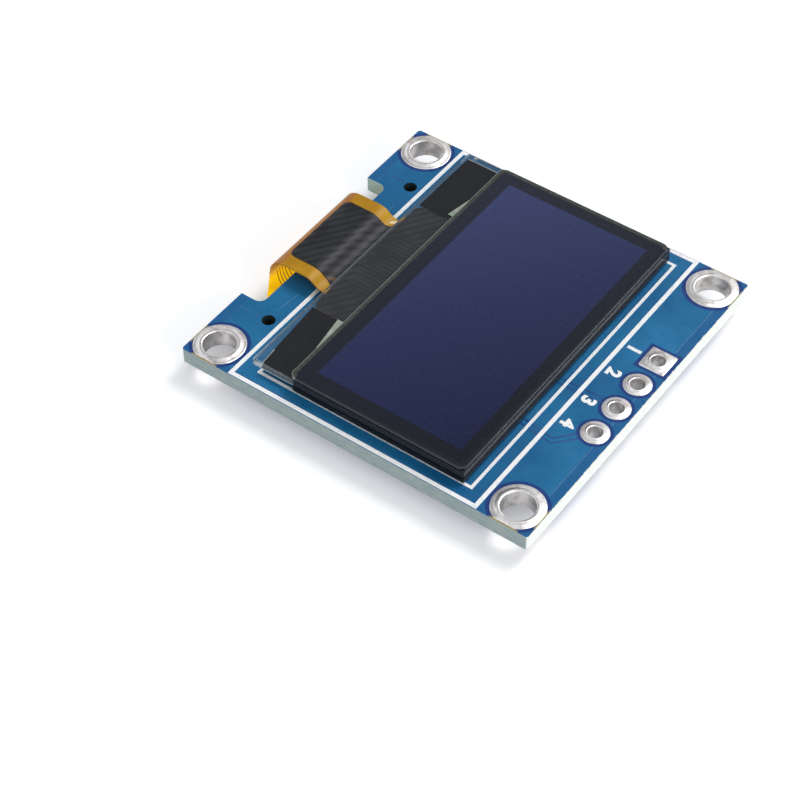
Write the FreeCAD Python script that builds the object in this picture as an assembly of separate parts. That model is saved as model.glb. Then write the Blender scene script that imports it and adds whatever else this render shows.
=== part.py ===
import FreeCAD, Part
import math
import os

# Small monochrome display module, display face up.
# The origin is on the surface it lies on, under the middle of the circuit board.
# X runs across the display, Y runs from the flex fold to the header holes, Z is up.
# All sizes are in millimetres. A "gap" is a clearance between two pieces, and an
# "inset" is measured inwards from an edge.

# Glass panel, in plan
PANEL_W = 24.5
PANEL_D = 16.65
PANEL_CORNER_R = 0.15
CAP_LEDGE = 3.2
POLARIZER_LEDGE = 2.95
POLARIZER_INSET = 0.05
POLARIZER_CORNER_R = 0.5
TAPE_INSET = 0.35
SEAL_W = 0.8
ACTIVE_GAP_SIDE = 0.5
ACTIVE_GAP_LOW = 0.35
ACTIVE_GAP_HIGH = 0.3

# Glass panel, in height
TAPE_T = 0.15
CAP_T = 0.45
SEAL_T = 0.03
SUBSTRATE_T = 0.6
POLARIZER_T = 0.2

# Circuit board: the strips are what shows of it around the panel
SIDE_STRIP = 1.15
HEADER_STRIP = 5.55
FLEX_STRIP = 5.1
BOARD_T = 1.2
BOARD_CORNER_R = 0.2
NOTCH_DEPTH = 1.7
NOTCH_CORNER_R = 0.6
NOTCH_SIDE_GAP = 0.4
TOOLING_SPACING = 16.1
TOOLING_INSET = 3.05
TOOLING_R = 0.475

# Plated mounting holes
MOUNT_INSET_X = 1.73
MOUNT_INSET_Y = 1.83
MOUNT_BORE_R = 1.15
MOUNT_RING_W = 0.65
MOUNT_LIP_W = 0.28

# Plated header holes
PIN_COUNT = 4
PIN_PITCH = 2.54
PIN_ROW_INSET = 1.27
PIN_BORE_R = 0.5
PIN_RING_W = 0.475
PIN_LIP_W = 0.14

# Plating and print
PLATE_WALL = 0.05
PLATE_T = 0.06
PLATE_EDGE_GAP = 0.1
LIP_RISE = 0.05
PRINT_T = 0.02
PRINT_GAP = 0.1
OUTER_LINE_W = 0.3
OUTER_LINE_INSET = 0.2
OUTER_LINE_HIGH = 1.55
OUTER_LINE_LOW = 1.1
INNER_LINE_W = 0.22
INNER_LINE_INSET = 0.15
INNER_LINE_HIGH = 0.5
INNER_LINE_LOW = 0.4

# Films and bead under the clear ledge of the glass
SHIELD_T = 0.05
SHIELD_INSET = 0.55
SHIELD_GAP = 0.1
BEAD_LENGTH = 4.0
BEAD_W = 0.5

# Flex circuit, folded through the notch to the back
FLEX_T = 0.1
NECK_W = 8.6
NECK_RISE = 1.26
NECK_CORNER_R = 0.5
SHOULDER_W = 1.7
HEAD_CORNER_R = 0.5
HEAD_INSET = 0.1
HEAD_SIDE_GAP = 0.06
HEAD_END_GAP = 0.35
RISE_START = 0.25
PLATEAU = 1.65
FOLD_STANDOUT = 0.2
FLARE_W = 2.4
TAIL_D = 4.45
TAIL_GAP = 0.05
TAIL_CORNER_R = 0.6
TAIL_HOLE_MARGIN = 1.25
COVERLAY_T = 0.04
COVERLAY_MARGIN = 1.03
COVERLAY_OVER_FOLD = 0.45
COVERLAY_CORNER_R = 0.55
COVERLAY_FLARE_R = 1.1

# Driver chip under the flex head
CHIP_W = 6.8
CHIP_D = 0.9
CHIP_T = 0.3
CHIP_INSET = 1.45

# Soldered contacts along the end of the flex tail
CONTACT_PITCH = 0.6
CONTACT_W = 0.34
CONTACT_ON_TAIL = 1.3
CONTACT_ON_BOARD = 0.55
CONTACT_T = 0.1
CONTACT_ROW_MARGIN = 0.45

# Two-ended parts on the back: length, width and height, and how far each end wraps
BACK_HEIGHT = 1.1
BIG_CAP = (2.0, 1.25, BACK_HEIGHT, 0.45)
SMALL_CAP = (1.6, 0.8, 0.8, 0.32)
RESISTOR = (1.6, 0.8, 0.5, 0.3)
END_T = 0.03
END_BEVEL = 0.035
PAD_T = 0.035
PAD_MARGIN = 0.1
PAD_REACH = 0.3
FILLET_SHARE = 0.6
FILLET_HOLLOW = 0.42

# Regulator and diode: length, width and height of the moulded body
REGULATOR_BODY = (2.9, 1.3, BACK_HEIGHT)
REGULATOR_PITCH = 0.95
REGULATOR_REACH = 0.55
REGULATOR_LEAD_W = 0.42
DIODE_BODY = (2.7, 1.6, BACK_HEIGHT)
DIODE_REACH = 0.5
DIODE_LEAD_W = 0.6
LEAD_T = 0.13
LEAD_FOOT = 0.35
BODY_STANDOFF = 0.08
MOULD_DRAFT = 0.12

# Rows on the back, and where each part stands along X in its row
LOWER_ROW_GAP = 3.1
UPPER_ROW_GAP = 3.98
MIDDLE_ROW_GAP = 4.4
BIG_CAP_X = (-9.6, 9.6)
SMALL_CAP_X = (-6.2, 6.2)
RESISTOR_X = (-2.7, 2.7)
UPPER_CAP_X = (-1.2, 1.2)
REGULATOR_X = -5.6
DIODE_X = 6.2
MIDDLE_RESISTOR_X = (0.0, 4.6)
ADDRESS_X = -5.0
ADDRESS_STEP = 1.9

# Outline worked out from the sizes above
BOARD_W = PANEL_W + 2 * SIDE_STRIP
BOARD_D = FLEX_STRIP + PANEL_D + HEADER_STRIP
BOARD_Y0 = -BOARD_D / 2
BOARD_Y1 = BOARD_D / 2
PANEL_Y0 = BOARD_Y0 + FLEX_STRIP
PANEL_Y1 = BOARD_Y1 - HEADER_STRIP
CAP_Y0 = PANEL_Y0 + CAP_LEDGE
PIN_ROW_Y = BOARD_Y1 - PIN_ROW_INSET
TOOLING_Y = BOARD_Y0 + TOOLING_INSET
NOTCH_Y = BOARD_Y0 + NOTCH_DEPTH
FLARED_W = NECK_W + 2 * FLARE_W
NOTCH_W = FLARED_W + 2 * NOTCH_SIDE_GAP
HEAD_W = NECK_W + 2 * SHOULDER_W
HEAD_Y0 = PANEL_Y0 + HEAD_INSET
HEAD_Y1 = CAP_Y0 - HEAD_END_GAP
FOLD_Y = NOTCH_Y - FOLD_STANDOUT
TAIL_W = TOOLING_SPACING + 2 * TAIL_HOLE_MARGIN
TAIL_Y1 = FOLD_Y + TAIL_D
LOWER_ROW_Y = TAIL_Y1 + LOWER_ROW_GAP
UPPER_ROW_Y = PIN_ROW_Y - UPPER_ROW_GAP
MIDDLE_ROW_Y = UPPER_ROW_Y - MIDDLE_ROW_GAP

# Levels, from the surface the module lies on
BOTTOM = PAD_T + BACK_HEIGHT
TOP = BOTTOM + BOARD_T
TAPE_TOP = TOP + TAPE_T
CAP_TOP = TAPE_TOP + CAP_T
GLASS_BOTTOM = CAP_TOP + SEAL_T
GLASS_TOP = GLASS_BOTTOM + SUBSTRATE_T
HEAD_TOP = GLASS_BOTTOM - COVERLAY_T
NECK_TOP = TOP + NECK_RISE
TAIL_TOP = BOTTOM - TAIL_GAP
TAIL_BOTTOM = TAIL_TOP - FLEX_T
FOLD_R = (NECK_TOP - TAIL_BOTTOM) / 2
FOLD_Z = NECK_TOP - FOLD_R

# How far cutting tools run past what they cut, and how close two points count as one
OVERCUT = 1.0
SAME_POINT = 1e-4
FAR = BOARD_W + BOARD_D


def vec(x, y, z=0.0):
    return FreeCAD.Vector(x, y, z)


def box(x0, x1, y0, y1, z0, z1):
    return Part.makeBox(x1 - x0, y1 - y0, z1 - z0, vec(x0, y0, z0))


def through_board(x, y, r):
    return Part.makeCylinder(r, BOARD_T + 2 * OVERCUT, vec(x, y, BOTTOM - OVERCUT))


def mirrored(shape):
    """The same shape on the other side of the middle."""
    return shape.mirror(vec(0, 0), vec(1, 0))


def both_sides(x, y):
    return [(-x, y), (x, y)]


def round_corners(shape, corners, radius):
    """Rounds the upright edges of a prism that stand at the given x, y corners."""
    edges = []
    for edge in shape.Edges:
        a, b = edge.Vertexes[0].Point, edge.Vertexes[-1].Point
        upright = math.hypot(a.x - b.x, a.y - b.y) < SAME_POINT
        if upright and any(math.hypot(a.x - x, a.y - y) < SAME_POINT for x, y in corners):
            edges.append(edge)
    return shape.makeFillet(radius, edges)


def slab(width, y0, y1, z0, z1, corner_r):
    """A plate centred on X with its four upright corners rounded."""
    plate = box(-width / 2, width / 2, y0, y1, z0, z1)
    return round_corners(plate, both_sides(width / 2, y0) + both_sides(width / 2, y1), corner_r)


def polygon_prism(points, along):
    """A closed outline of points pushed along a vector."""
    return Part.Face(Part.makePolygon(points + points[:1])).extrude(along)


def edges_prism(edges, along):
    """A closed outline of lines and arcs pushed along a vector."""
    return Part.Face(Part.Wire(Part.__sortEdges__(edges))).extrude(along)


def line(a, b):
    return Part.LineSegment(a, b).toShape()


def arc(a, b, c):
    return Part.Arc(a, b, c).toShape()


# Circuit board


def mount_centres():
    x = BOARD_W / 2 - MOUNT_INSET_X
    return both_sides(x, BOARD_Y1 - MOUNT_INSET_Y) + both_sides(x, BOARD_Y0 + MOUNT_INSET_Y)


def pin_centres():
    first = -(PIN_COUNT - 1) / 2
    return [((first + i) * PIN_PITCH, PIN_ROW_Y) for i in range(PIN_COUNT)]


def tooling_centres():
    return both_sides(TOOLING_SPACING / 2, TOOLING_Y)


def circuit_board():
    """The plate with its flex notch, and every hole large enough for its plating."""
    board = slab(BOARD_W, BOARD_Y0, BOARD_Y1, BOTTOM, TOP, BOARD_CORNER_R)
    notch = box(-NOTCH_W / 2, NOTCH_W / 2, BOARD_Y0 - OVERCUT, NOTCH_Y, BOTTOM - OVERCUT, TOP + OVERCUT)
    cuts = [round_corners(notch, both_sides(NOTCH_W / 2, NOTCH_Y), NOTCH_CORNER_R)]
    cuts += [through_board(x, y, MOUNT_BORE_R + PLATE_WALL) for x, y in mount_centres()]
    cuts += [through_board(x, y, PIN_BORE_R + PLATE_WALL) for x, y in pin_centres()]
    cuts += [through_board(x, y, TOOLING_R) for x, y in tooling_centres()]
    return board.cut(Part.makeCompound(cuts))


def plated_hole(x, y, bore_r, ring_w, lip_w):
    """A barrel with a flat ring and a low solder lip on each face, turned about the hole."""
    ring_r, lip_r, crest_r = bore_r + ring_w, bore_r + lip_w, bore_r + lip_w / 2
    high = TOP + PLATE_T
    upper = [vec(bore_r, 0, high), vec(crest_r, 0, high + LIP_RISE), vec(lip_r, 0, high),
             vec(ring_r, 0, high), vec(ring_r, 0, TOP), vec(bore_r + PLATE_WALL, 0, TOP)]
    lower = [vec(p.x, 0, TOP + BOTTOM - p.z) for p in reversed(upper)]
    hole = Part.Face(Part.makePolygon(upper + lower + upper[:1])).revolve(vec(0, 0), vec(0, 0, 1), 360)
    hole.translate(vec(x, y))
    return hole


def mounting_ring(x, y):
    """A plated mounting hole, its ring cut back straight where it would reach the board's edges."""
    ring = plated_hole(x, y, MOUNT_BORE_R, MOUNT_RING_W, MOUNT_LIP_W)
    reach_x, reach_y = BOARD_W / 2 - PLATE_EDGE_GAP, BOARD_D / 2 - PLATE_EDGE_GAP
    return ring.common(box(-reach_x, reach_x, -reach_y, reach_y, BOTTOM - OVERCUT, TOP + OVERCUT))


def header_pad(x, y, square):
    """A plated header hole. The first has square pads, so its round ones gain corners."""
    hole = plated_hole(x, y, PIN_BORE_R, PIN_RING_W, PIN_LIP_W)
    if not square:
        return hole
    half = PIN_BORE_R + PIN_RING_W
    middle = through_board(x, y, PIN_BORE_R + PLATE_WALL / 2)
    for z0, z1 in ((TOP, TOP + PLATE_T), (BOTTOM - PLATE_T, BOTTOM)):
        hole = hole.fuse(box(x - half, x + half, y - half, y + half, z0, z1).cut(middle))
    return hole.removeSplitter()


def printed_rectangle(x, y0, y1, line_w):
    """A printed rectangle, given by the middle of its lines."""
    h = line_w / 2
    outer = box(-x - h, x + h, y0 - h, y1 + h, TOP, TOP + PRINT_T)
    return outer.cut(box(h - x, x - h, y0 + h, y1 - h, TOP, TOP + PRINT_T))


def printed_frames():
    """The two white rectangles, one near the board's edges and one around the panel."""
    outer = printed_rectangle(BOARD_W / 2 - OUTER_LINE_INSET, PANEL_Y0 - OUTER_LINE_LOW,
                              PANEL_Y1 + OUTER_LINE_HIGH, OUTER_LINE_W)
    inner = printed_rectangle(PANEL_W / 2 - INNER_LINE_INSET, PANEL_Y0 + INNER_LINE_LOW,
                              PANEL_Y1 + INNER_LINE_HIGH, INNER_LINE_W)
    keep_off = MOUNT_BORE_R + MOUNT_RING_W + PRINT_GAP
    rings = Part.makeCompound([through_board(x, y, keep_off) for x, y in mount_centres()])
    return Part.makeCompound([outer.cut(rings), inner])


# Glass panel


def adhesive_tape():
    x = PANEL_W / 2 - TAPE_INSET
    return box(-x, x, CAP_Y0 + TAPE_INSET, PANEL_Y1 - TAPE_INSET, TOP, TAPE_TOP)


def cap_glass():
    return slab(PANEL_W, CAP_Y0, PANEL_Y1, TAPE_TOP, CAP_TOP, PANEL_CORNER_R)


def seal_frame():
    """The thin bead of sealant between the two plates of glass."""
    outer = slab(PANEL_W, CAP_Y0, PANEL_Y1, CAP_TOP, GLASS_BOTTOM, PANEL_CORNER_R)
    x = PANEL_W / 2 - SEAL_W
    return outer.cut(box(-x, x, CAP_Y0 + SEAL_W, PANEL_Y1 - SEAL_W, CAP_TOP, GLASS_BOTTOM))


def active_layer():
    """The light-emitting layer, clear of the sealant on every side."""
    x = PANEL_W / 2 - SEAL_W - ACTIVE_GAP_SIDE
    y0 = CAP_Y0 + SEAL_W + ACTIVE_GAP_LOW
    y1 = PANEL_Y1 - SEAL_W - ACTIVE_GAP_HIGH
    return box(-x, x, y0, y1, CAP_TOP, GLASS_BOTTOM)


def substrate_glass():
    return slab(PANEL_W, PANEL_Y0, PANEL_Y1, GLASS_BOTTOM, GLASS_TOP, PANEL_CORNER_R)


def polarizer():
    y0, y1 = PANEL_Y0 + POLARIZER_LEDGE, PANEL_Y1 - POLARIZER_INSET
    width = PANEL_W - 2 * POLARIZER_INSET
    return slab(width, y0, y1, GLASS_TOP, GLASS_TOP + POLARIZER_T, POLARIZER_CORNER_R)


def ledge_shield():
    """Black film under the right half of the clear ledge, one corner cut off for the sealant bead."""
    low = GLASS_BOTTOM - SHIELD_T
    x0, x1 = HEAD_W / 2 + HEAD_SIDE_GAP, PANEL_W / 2 - SHIELD_INSET
    y0, y1 = PANEL_Y0 + SHIELD_INSET, CAP_Y0 - SHIELD_GAP
    outline = [vec(x0, y0, low), vec(x1, y0, low), vec(x1, y1, low), vec(x0 + BEAD_LENGTH, y1, low),
               vec(x0, y1 - BEAD_W, low)]
    return polygon_prism(outline, vec(0, 0, SHIELD_T))


def sealant_bead():
    """Sealant squeezed out right of the flex head, tapering away along the edge of the cap glass."""
    low = GLASS_BOTTOM - SHIELD_T
    x0, y1 = HEAD_W / 2 + HEAD_SIDE_GAP, CAP_Y0 - SHIELD_GAP / 2
    outline = [vec(x0, y1, low), vec(x0, y1 - BEAD_W, low), vec(x0 + BEAD_LENGTH, y1, low)]
    return polygon_prism(outline, vec(0, 0, SHIELD_T))


# Flex circuit


def fold_point(angle_deg, radius):
    """A point on the fold, from its crown at 90 degrees to its foot at 270."""
    a = math.radians(angle_deg)
    return vec(0, FOLD_Y + radius * math.cos(a), FOLD_Z + radius * math.sin(a))


def rise_edges(y0, y1, offset):
    """Two equal tangent arcs that climb from the head's level to the neck's, offset off that path."""
    span, climb = y0 - y1, NECK_TOP - HEAD_TOP
    radius = (span * span + climb * climb) / (4 * climb)
    half_turn = math.atan2(climb, span)
    hollow_r, crest_r = radius - offset, radius + offset

    def hollow(a):
        return vec(0, y0 - hollow_r * math.sin(a), HEAD_TOP + radius - hollow_r * math.cos(a))

    def crest(a):
        return vec(0, y1 + crest_r * math.sin(a), NECK_TOP - radius + crest_r * math.cos(a))

    return [arc(hollow(0), hollow(half_turn), hollow(2 * half_turn)),
            arc(crest(2 * half_turn), crest(half_turn), crest(0))]


def band_side(offset, end_angle):
    """One face of the band: under the glass, up the rise, along the plateau and round the fold."""
    head_z, neck_z = HEAD_TOP + offset, NECK_TOP + offset
    rise_y0, rise_y1 = PANEL_Y0 - RISE_START, FOLD_Y + PLATEAU
    radius, halfway = FOLD_R + offset, (90 + end_angle) / 2
    turn = arc(fold_point(90, radius), fold_point(halfway, radius), fold_point(end_angle, radius))
    return [line(vec(0, HEAD_Y1, head_z), vec(0, rise_y0, head_z)), *rise_edges(rise_y0, rise_y1, offset),
            line(vec(0, rise_y1, neck_z), vec(0, FOLD_Y, neck_z)), turn]


def band(outer, inner, end_angle):
    """The band between two offsets from the flex's outer face, as wide as the head."""
    start = line(vec(0, HEAD_Y1, HEAD_TOP + outer), vec(0, HEAD_Y1, HEAD_TOP + inner))
    end = line(fold_point(end_angle, FOLD_R + outer), fold_point(end_angle, FOLD_R + inner))
    edges = band_side(outer, end_angle) + band_side(inner, end_angle) + [start, end]
    strip = edges_prism(edges, vec(HEAD_W, 0, 0))
    strip.translate(vec(-HEAD_W / 2, 0, 0))
    return strip


def tee_prism(neck_w, neck_y0, inner_r):
    """A plan outline with the wide head and a narrower neck, curved where they meet."""
    neck = box(-neck_w / 2, neck_w / 2, neck_y0, HEAD_Y1, 0, FAR)
    head = box(-HEAD_W / 2, HEAD_W / 2, HEAD_Y0, HEAD_Y1, 0, FAR)
    tee = neck.fuse(head).removeSplitter()
    tee = round_corners(tee, both_sides(neck_w / 2, HEAD_Y0), inner_r)
    return round_corners(tee, both_sides(HEAD_W / 2, HEAD_Y0), HEAD_CORNER_R)


def flex_upper():
    return band(0, -FLEX_T, 180).common(tee_prism(NECK_W, -FAR, NECK_CORNER_R))


def flare_prism():
    """Seen from above, sides that spread from the neck's width at the fold's reach to its foot."""
    reach = FOLD_Y - FOLD_R
    outline = [vec(-NECK_W / 2, reach), vec(NECK_W / 2, reach), vec(FLARED_W / 2, FOLD_Y),
               vec(-FLARED_W / 2, FOLD_Y)]
    return polygon_prism(outline, vec(0, 0, FOLD_Z))


def flex_fold_foot():
    """The lower half of the fold, flaring as it goes under the board."""
    outer, inner = [[fold_point(a, r) for a in (180, 225, 270)] for r in (FOLD_R, FOLD_R - FLEX_T)]
    edges = [arc(*outer), arc(*inner), line(outer[0], inner[0]), line(outer[2], inner[2])]
    foot = edges_prism(edges, vec(FLARED_W, 0, 0))
    foot.translate(vec(-FLARED_W / 2, 0, 0))
    return foot.common(flare_prism())


def flex_tail():
    """The wide flat end under the board, with its two alignment holes."""
    tail = box(-TAIL_W / 2, TAIL_W / 2, FOLD_Y, TAIL_Y1, TAIL_BOTTOM, TAIL_TOP)
    tail = round_corners(tail, both_sides(TAIL_W / 2, FOLD_Y), TAIL_CORNER_R)
    return tail.cut(Part.makeCompound([through_board(x, y, TOOLING_R) for x, y in tooling_centres()]))


def flex_circuit():
    return flex_upper().fuse([flex_fold_foot(), flex_tail()]).removeSplitter()


def flex_coverlay():
    """The black cover film on the outer face of the head and neck, rounded where it ends on the fold."""
    end_y = FOLD_Y - COVERLAY_OVER_FOLD
    end_angle = math.degrees(math.acos(-COVERLAY_OVER_FOLD / (FOLD_R + COVERLAY_T)))
    neck_w = NECK_W - 2 * COVERLAY_MARGIN
    outline = tee_prism(neck_w, end_y, COVERLAY_FLARE_R)
    outline = round_corners(outline, both_sides(neck_w / 2, end_y), COVERLAY_CORNER_R)
    return band(COVERLAY_T, 0, end_angle).common(outline)


def driver_chip():
    """The bare display driver, bonded to the inner face of the flex head."""
    high = HEAD_TOP - FLEX_T
    y = HEAD_Y0 + CHIP_INSET
    return box(-CHIP_W / 2, CHIP_W / 2, y - CHIP_D / 2, y + CHIP_D / 2, high - CHIP_T, high)


def solder_joint(x):
    """One soldered contact: it lies on the tail and runs down over its end to the board."""
    x0 = x - CONTACT_W / 2
    y0, y1 = TAIL_Y1 - CONTACT_ON_TAIL, TAIL_Y1 + CONTACT_ON_BOARD
    crest, shoulder = TAIL_BOTTOM - CONTACT_T, TAIL_BOTTOM - CONTACT_T / 2
    toe = BOTTOM - CONTACT_T / 2
    side = [vec(x0, y0, TAIL_BOTTOM), vec(x0, TAIL_Y1, TAIL_BOTTOM), vec(x0, TAIL_Y1, BOTTOM),
            vec(x0, y1, BOTTOM), vec(x0, y1 - CONTACT_T / 2, toe), vec(x0, TAIL_Y1, crest),
            vec(x0, y0 + CONTACT_T, crest), vec(x0, y0, shoulder)]
    return polygon_prism(side, vec(CONTACT_W, 0, 0))


def flex_solder_joints():
    """As many contacts as the tail's end has room for."""
    room = TAIL_W - 2 * CONTACT_ROW_MARGIN - CONTACT_W
    count = int(room / CONTACT_PITCH) + 1
    first = -(count - 1) / 2
    return Part.makeCompound([solder_joint((first + i) * CONTACT_PITCH) for i in range(count)])


# Two-ended parts on the back. Each is drawn lying along X, hanging below z = 0, then placed.


def placed(shape, x, y, along_y):
    """Turns a part to lie along Y where asked, and hangs it from the pads at its place."""
    out = shape.copy()
    if along_y:
        out.rotate(vec(0, 0), vec(0, 0, 1), 90)
    out.translate(vec(x, y, BOTTOM - PAD_T))
    return out


def chip_parts():
    """Every two-ended part: name, size and place, which is x, y and whether it lies along Y."""
    rows = [("reservoir_capacitor", BIG_CAP, [(x, LOWER_ROW_Y, True) for x in BIG_CAP_X]),
            ("capacitor", SMALL_CAP, [(x, LOWER_ROW_Y, True) for x in SMALL_CAP_X]),
            ("upper_capacitor", SMALL_CAP, [(x, UPPER_ROW_Y, True) for x in UPPER_CAP_X]),
            ("resistor", RESISTOR, [(x, LOWER_ROW_Y, True) for x in RESISTOR_X]),
            ("middle_resistor", RESISTOR, [(x, MIDDLE_ROW_Y, False) for x in MIDDLE_RESISTOR_X])]
    parts = [(f"{name}_{i + 1}", size, at) for name, size, places in rows for i, at in enumerate(places)]
    return parts + [("address_resistor", RESISTOR, (ADDRESS_X, MIDDLE_ROW_Y, False))]


def chip_body(size):
    """The ceramic block, which runs on inside the plated ends."""
    length, width, height, _ = size
    x, y = length / 2 - END_T, width / 2 - END_T
    return box(-x, x, -y, y, END_T - height, -END_T)


def chip_ends(size):
    """The two plated ends, each a cup around the end of the block, with its edges bevelled."""
    length, width, height, wrap = size
    whole = box(-length / 2, length / 2, -width / 2, width / 2, -height, 0)
    long_edges = [e for e in whole.Edges if abs(e.Vertexes[0].X - e.Vertexes[-1].X) > SAME_POINT]
    shell = whole.makeChamfer(END_BEVEL, long_edges).cut(chip_body(size))
    x = length / 2 - wrap
    return shell.cut(box(-x, x, -width, width, -height - OVERCUT, OVERCUT))


def chip_pads(size):
    """Tinned pads on the board, a little wider and longer than the ends on them."""
    length, width, _, wrap = size
    y = width / 2 + PAD_MARGIN
    pad = box(length / 2 - wrap - PAD_MARGIN, length / 2 + PAD_REACH, -y, y, 0, PAD_T)
    return [pad, mirrored(pad)]


def chip_fillets(size):
    """Solder that climbs the outer face of each end from its pad, hollow as solder is."""
    length, width, height, _ = size
    x, y = length / 2, -width / 2
    climb, foot = height * FILLET_SHARE, PAD_REACH - PAD_MARGIN
    corner, tip, toe = vec(x, y), vec(x, y, -climb), vec(x + foot, y)
    middle = vec(x + foot * FILLET_HOLLOW, y, -climb * FILLET_HOLLOW)
    fillet = edges_prism([line(corner, tip), arc(tip, middle, toe), line(toe, corner)], vec(0, width, 0))
    return [fillet, mirrored(fillet)]


# Moulded parts on the back


def moulded_body(size):
    """Two halves that taper away from the line where the leads come out."""
    length, width, height = size

    def outline(inset, z):
        x, y = length / 2 - inset, width / 2 - inset
        return Part.makePolygon([vec(-x, -y, z), vec(x, -y, z), vec(x, y, z), vec(-x, y, z), vec(-x, -y, z)])

    upper = Part.makeLoft([outline(MOULD_DRAFT, -BODY_STANDOFF), outline(0, -height / 2)], True)
    lower = Part.makeLoft([outline(0, -height / 2), outline(MOULD_DRAFT, -height)], True)
    return upper.fuse(lower).removeSplitter()


def gull_lead(body_half, reach, width, height):
    """A lead that leaves the middle of the body along X, steps to the pad and ends in a foot."""
    middle, t = -height / 2, LEAD_T
    end = body_half + reach
    step = end - LEAD_FOOT
    knee = (body_half + step) / 2
    side = [vec(body_half, 0, middle - t / 2), vec(knee + t, 0, middle - t / 2), vec(step + t / 2, 0, -t),
            vec(end, 0, -t), vec(end, 0, 0), vec(step, 0, 0), vec(knee, 0, middle + t / 2),
            vec(body_half, 0, middle + t / 2)]
    lead = polygon_prism(side, vec(0, width, 0))
    lead.translate(vec(0, -width / 2, 0))
    return lead


def lead_pad(body_half, reach, width):
    """A pad along X under a lead's foot."""
    y = width / 2 + PAD_MARGIN
    end = body_half + reach
    return box(end - LEAD_FOOT - PAD_MARGIN, end + PAD_REACH, -y, y, 0, PAD_T)


def regulator_set(shape):
    """Puts a shape drawn along X at the regulator's leads, two on one side and one on the other."""
    out = []
    for offset, turn in ((-REGULATOR_PITCH, -90), (REGULATOR_PITCH, -90), (0, 90)):
        copy = shape.copy()
        copy.rotate(vec(0, 0), vec(0, 0, 1), turn)
        copy.translate(vec(offset, 0))
        out.append(placed(copy, REGULATOR_X, UPPER_ROW_Y, False))
    return out


def diode_set(shape):
    """Puts a shape drawn along X at both ends of the diode."""
    return [placed(s, DIODE_X, UPPER_ROW_Y, False) for s in (shape, mirrored(shape))]


def regulator_leads():
    _, width, height = REGULATOR_BODY
    return Part.makeCompound(regulator_set(gull_lead(width / 2, REGULATOR_REACH, REGULATOR_LEAD_W, height)))


def diode_leads():
    length, _, height = DIODE_BODY
    return Part.makeCompound(diode_set(gull_lead(length / 2, DIODE_REACH, DIODE_LEAD_W, height)))


def regulator_body():
    return placed(moulded_body(REGULATOR_BODY), REGULATOR_X, UPPER_ROW_Y, False)


def diode_body():
    return placed(moulded_body(DIODE_BODY), DIODE_X, UPPER_ROW_Y, False)


# Solder on the back


def solder_pads():
    """All the pads on the back, with the spare pair beside the address resistor."""
    pads = regulator_set(lead_pad(REGULATOR_BODY[1] / 2, REGULATOR_REACH, REGULATOR_LEAD_W))
    pads += diode_set(lead_pad(DIODE_BODY[0] / 2, DIODE_REACH, DIODE_LEAD_W))
    for _, size, at in chip_parts():
        pads += [placed(p, *at) for p in chip_pads(size)]
    pads += [placed(p, ADDRESS_X, MIDDLE_ROW_Y - ADDRESS_STEP, False) for p in chip_pads(RESISTOR)]
    return Part.makeCompound(pads)


def solder_fillets():
    fillets = [placed(f, *at) for _, size, at in chip_parts() for f in chip_fillets(size)]
    return Part.makeCompound(fillets)


def subparts():
    """Every piece of the module by name."""
    single = (circuit_board, printed_frames, adhesive_tape, cap_glass, seal_frame, active_layer,
              substrate_glass, polarizer, flex_circuit, flex_coverlay, driver_chip, flex_solder_joints,
              solder_pads, solder_fillets, regulator_body, regulator_leads, diode_body, diode_leads)
    parts = {make.__name__: make() for make in single}
    for make in (ledge_shield, sealant_bead):
        parts[make.__name__ + "_right"] = make()
        parts[make.__name__ + "_left"] = mirrored(make())
    for i, (x, y) in enumerate(mount_centres()):
        parts[f"mounting_ring_{i + 1}"] = mounting_ring(x, y)
    for i, (x, y) in enumerate(pin_centres()):
        parts[f"header_pad_{i + 1}"] = header_pad(x, y, square=(i == 0))
    for name, size, at in chip_parts():
        parts[name] = placed(chip_body(size), *at)
        parts[name + "_ends"] = placed(chip_ends(size), *at)
    return parts


def main():
    os.makedirs("parts", exist_ok=True)
    for name, shape in subparts().items():
        shape.exportStep(f"parts/{name}.step")
        print(f"{name}: {len(shape.Solids)} solids, {shape.Volume:.4f} mm3, valid {shape.isValid()}")


main()
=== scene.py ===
# %% [markdown]
# # A small display module on a blue circuit board
# The real object is a glass display panel on a blue board, with an amber flex that folds
# through a notch in the board. Every solid comes ready from the imported model. This lesson
# gives each one its finish and adds the thin layers that a solid can't show, such as the
# numbers printed on the board. It starts by loading the model.

import math

import bmesh
import bpy
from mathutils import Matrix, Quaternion, Vector, noise


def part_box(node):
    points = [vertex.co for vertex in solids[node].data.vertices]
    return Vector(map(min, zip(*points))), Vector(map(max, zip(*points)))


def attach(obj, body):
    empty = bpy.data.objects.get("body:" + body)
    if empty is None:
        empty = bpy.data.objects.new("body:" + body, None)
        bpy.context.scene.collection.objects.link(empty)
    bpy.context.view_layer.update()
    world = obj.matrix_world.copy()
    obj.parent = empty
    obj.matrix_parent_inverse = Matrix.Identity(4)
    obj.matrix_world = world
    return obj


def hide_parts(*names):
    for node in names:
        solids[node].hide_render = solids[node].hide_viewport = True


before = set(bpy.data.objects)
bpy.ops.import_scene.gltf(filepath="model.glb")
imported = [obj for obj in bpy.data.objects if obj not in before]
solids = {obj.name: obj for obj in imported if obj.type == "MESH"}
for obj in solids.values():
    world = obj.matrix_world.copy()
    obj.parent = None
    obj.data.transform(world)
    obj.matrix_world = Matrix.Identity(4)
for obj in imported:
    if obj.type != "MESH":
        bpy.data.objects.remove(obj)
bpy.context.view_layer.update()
MM = 0.001

# %% [markdown]
# ## The camera
# The photograph looks down on the module from above its lower right corner. The place, the
# lens and the small roll were found by matching the board's corners and its row of holes.

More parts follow.
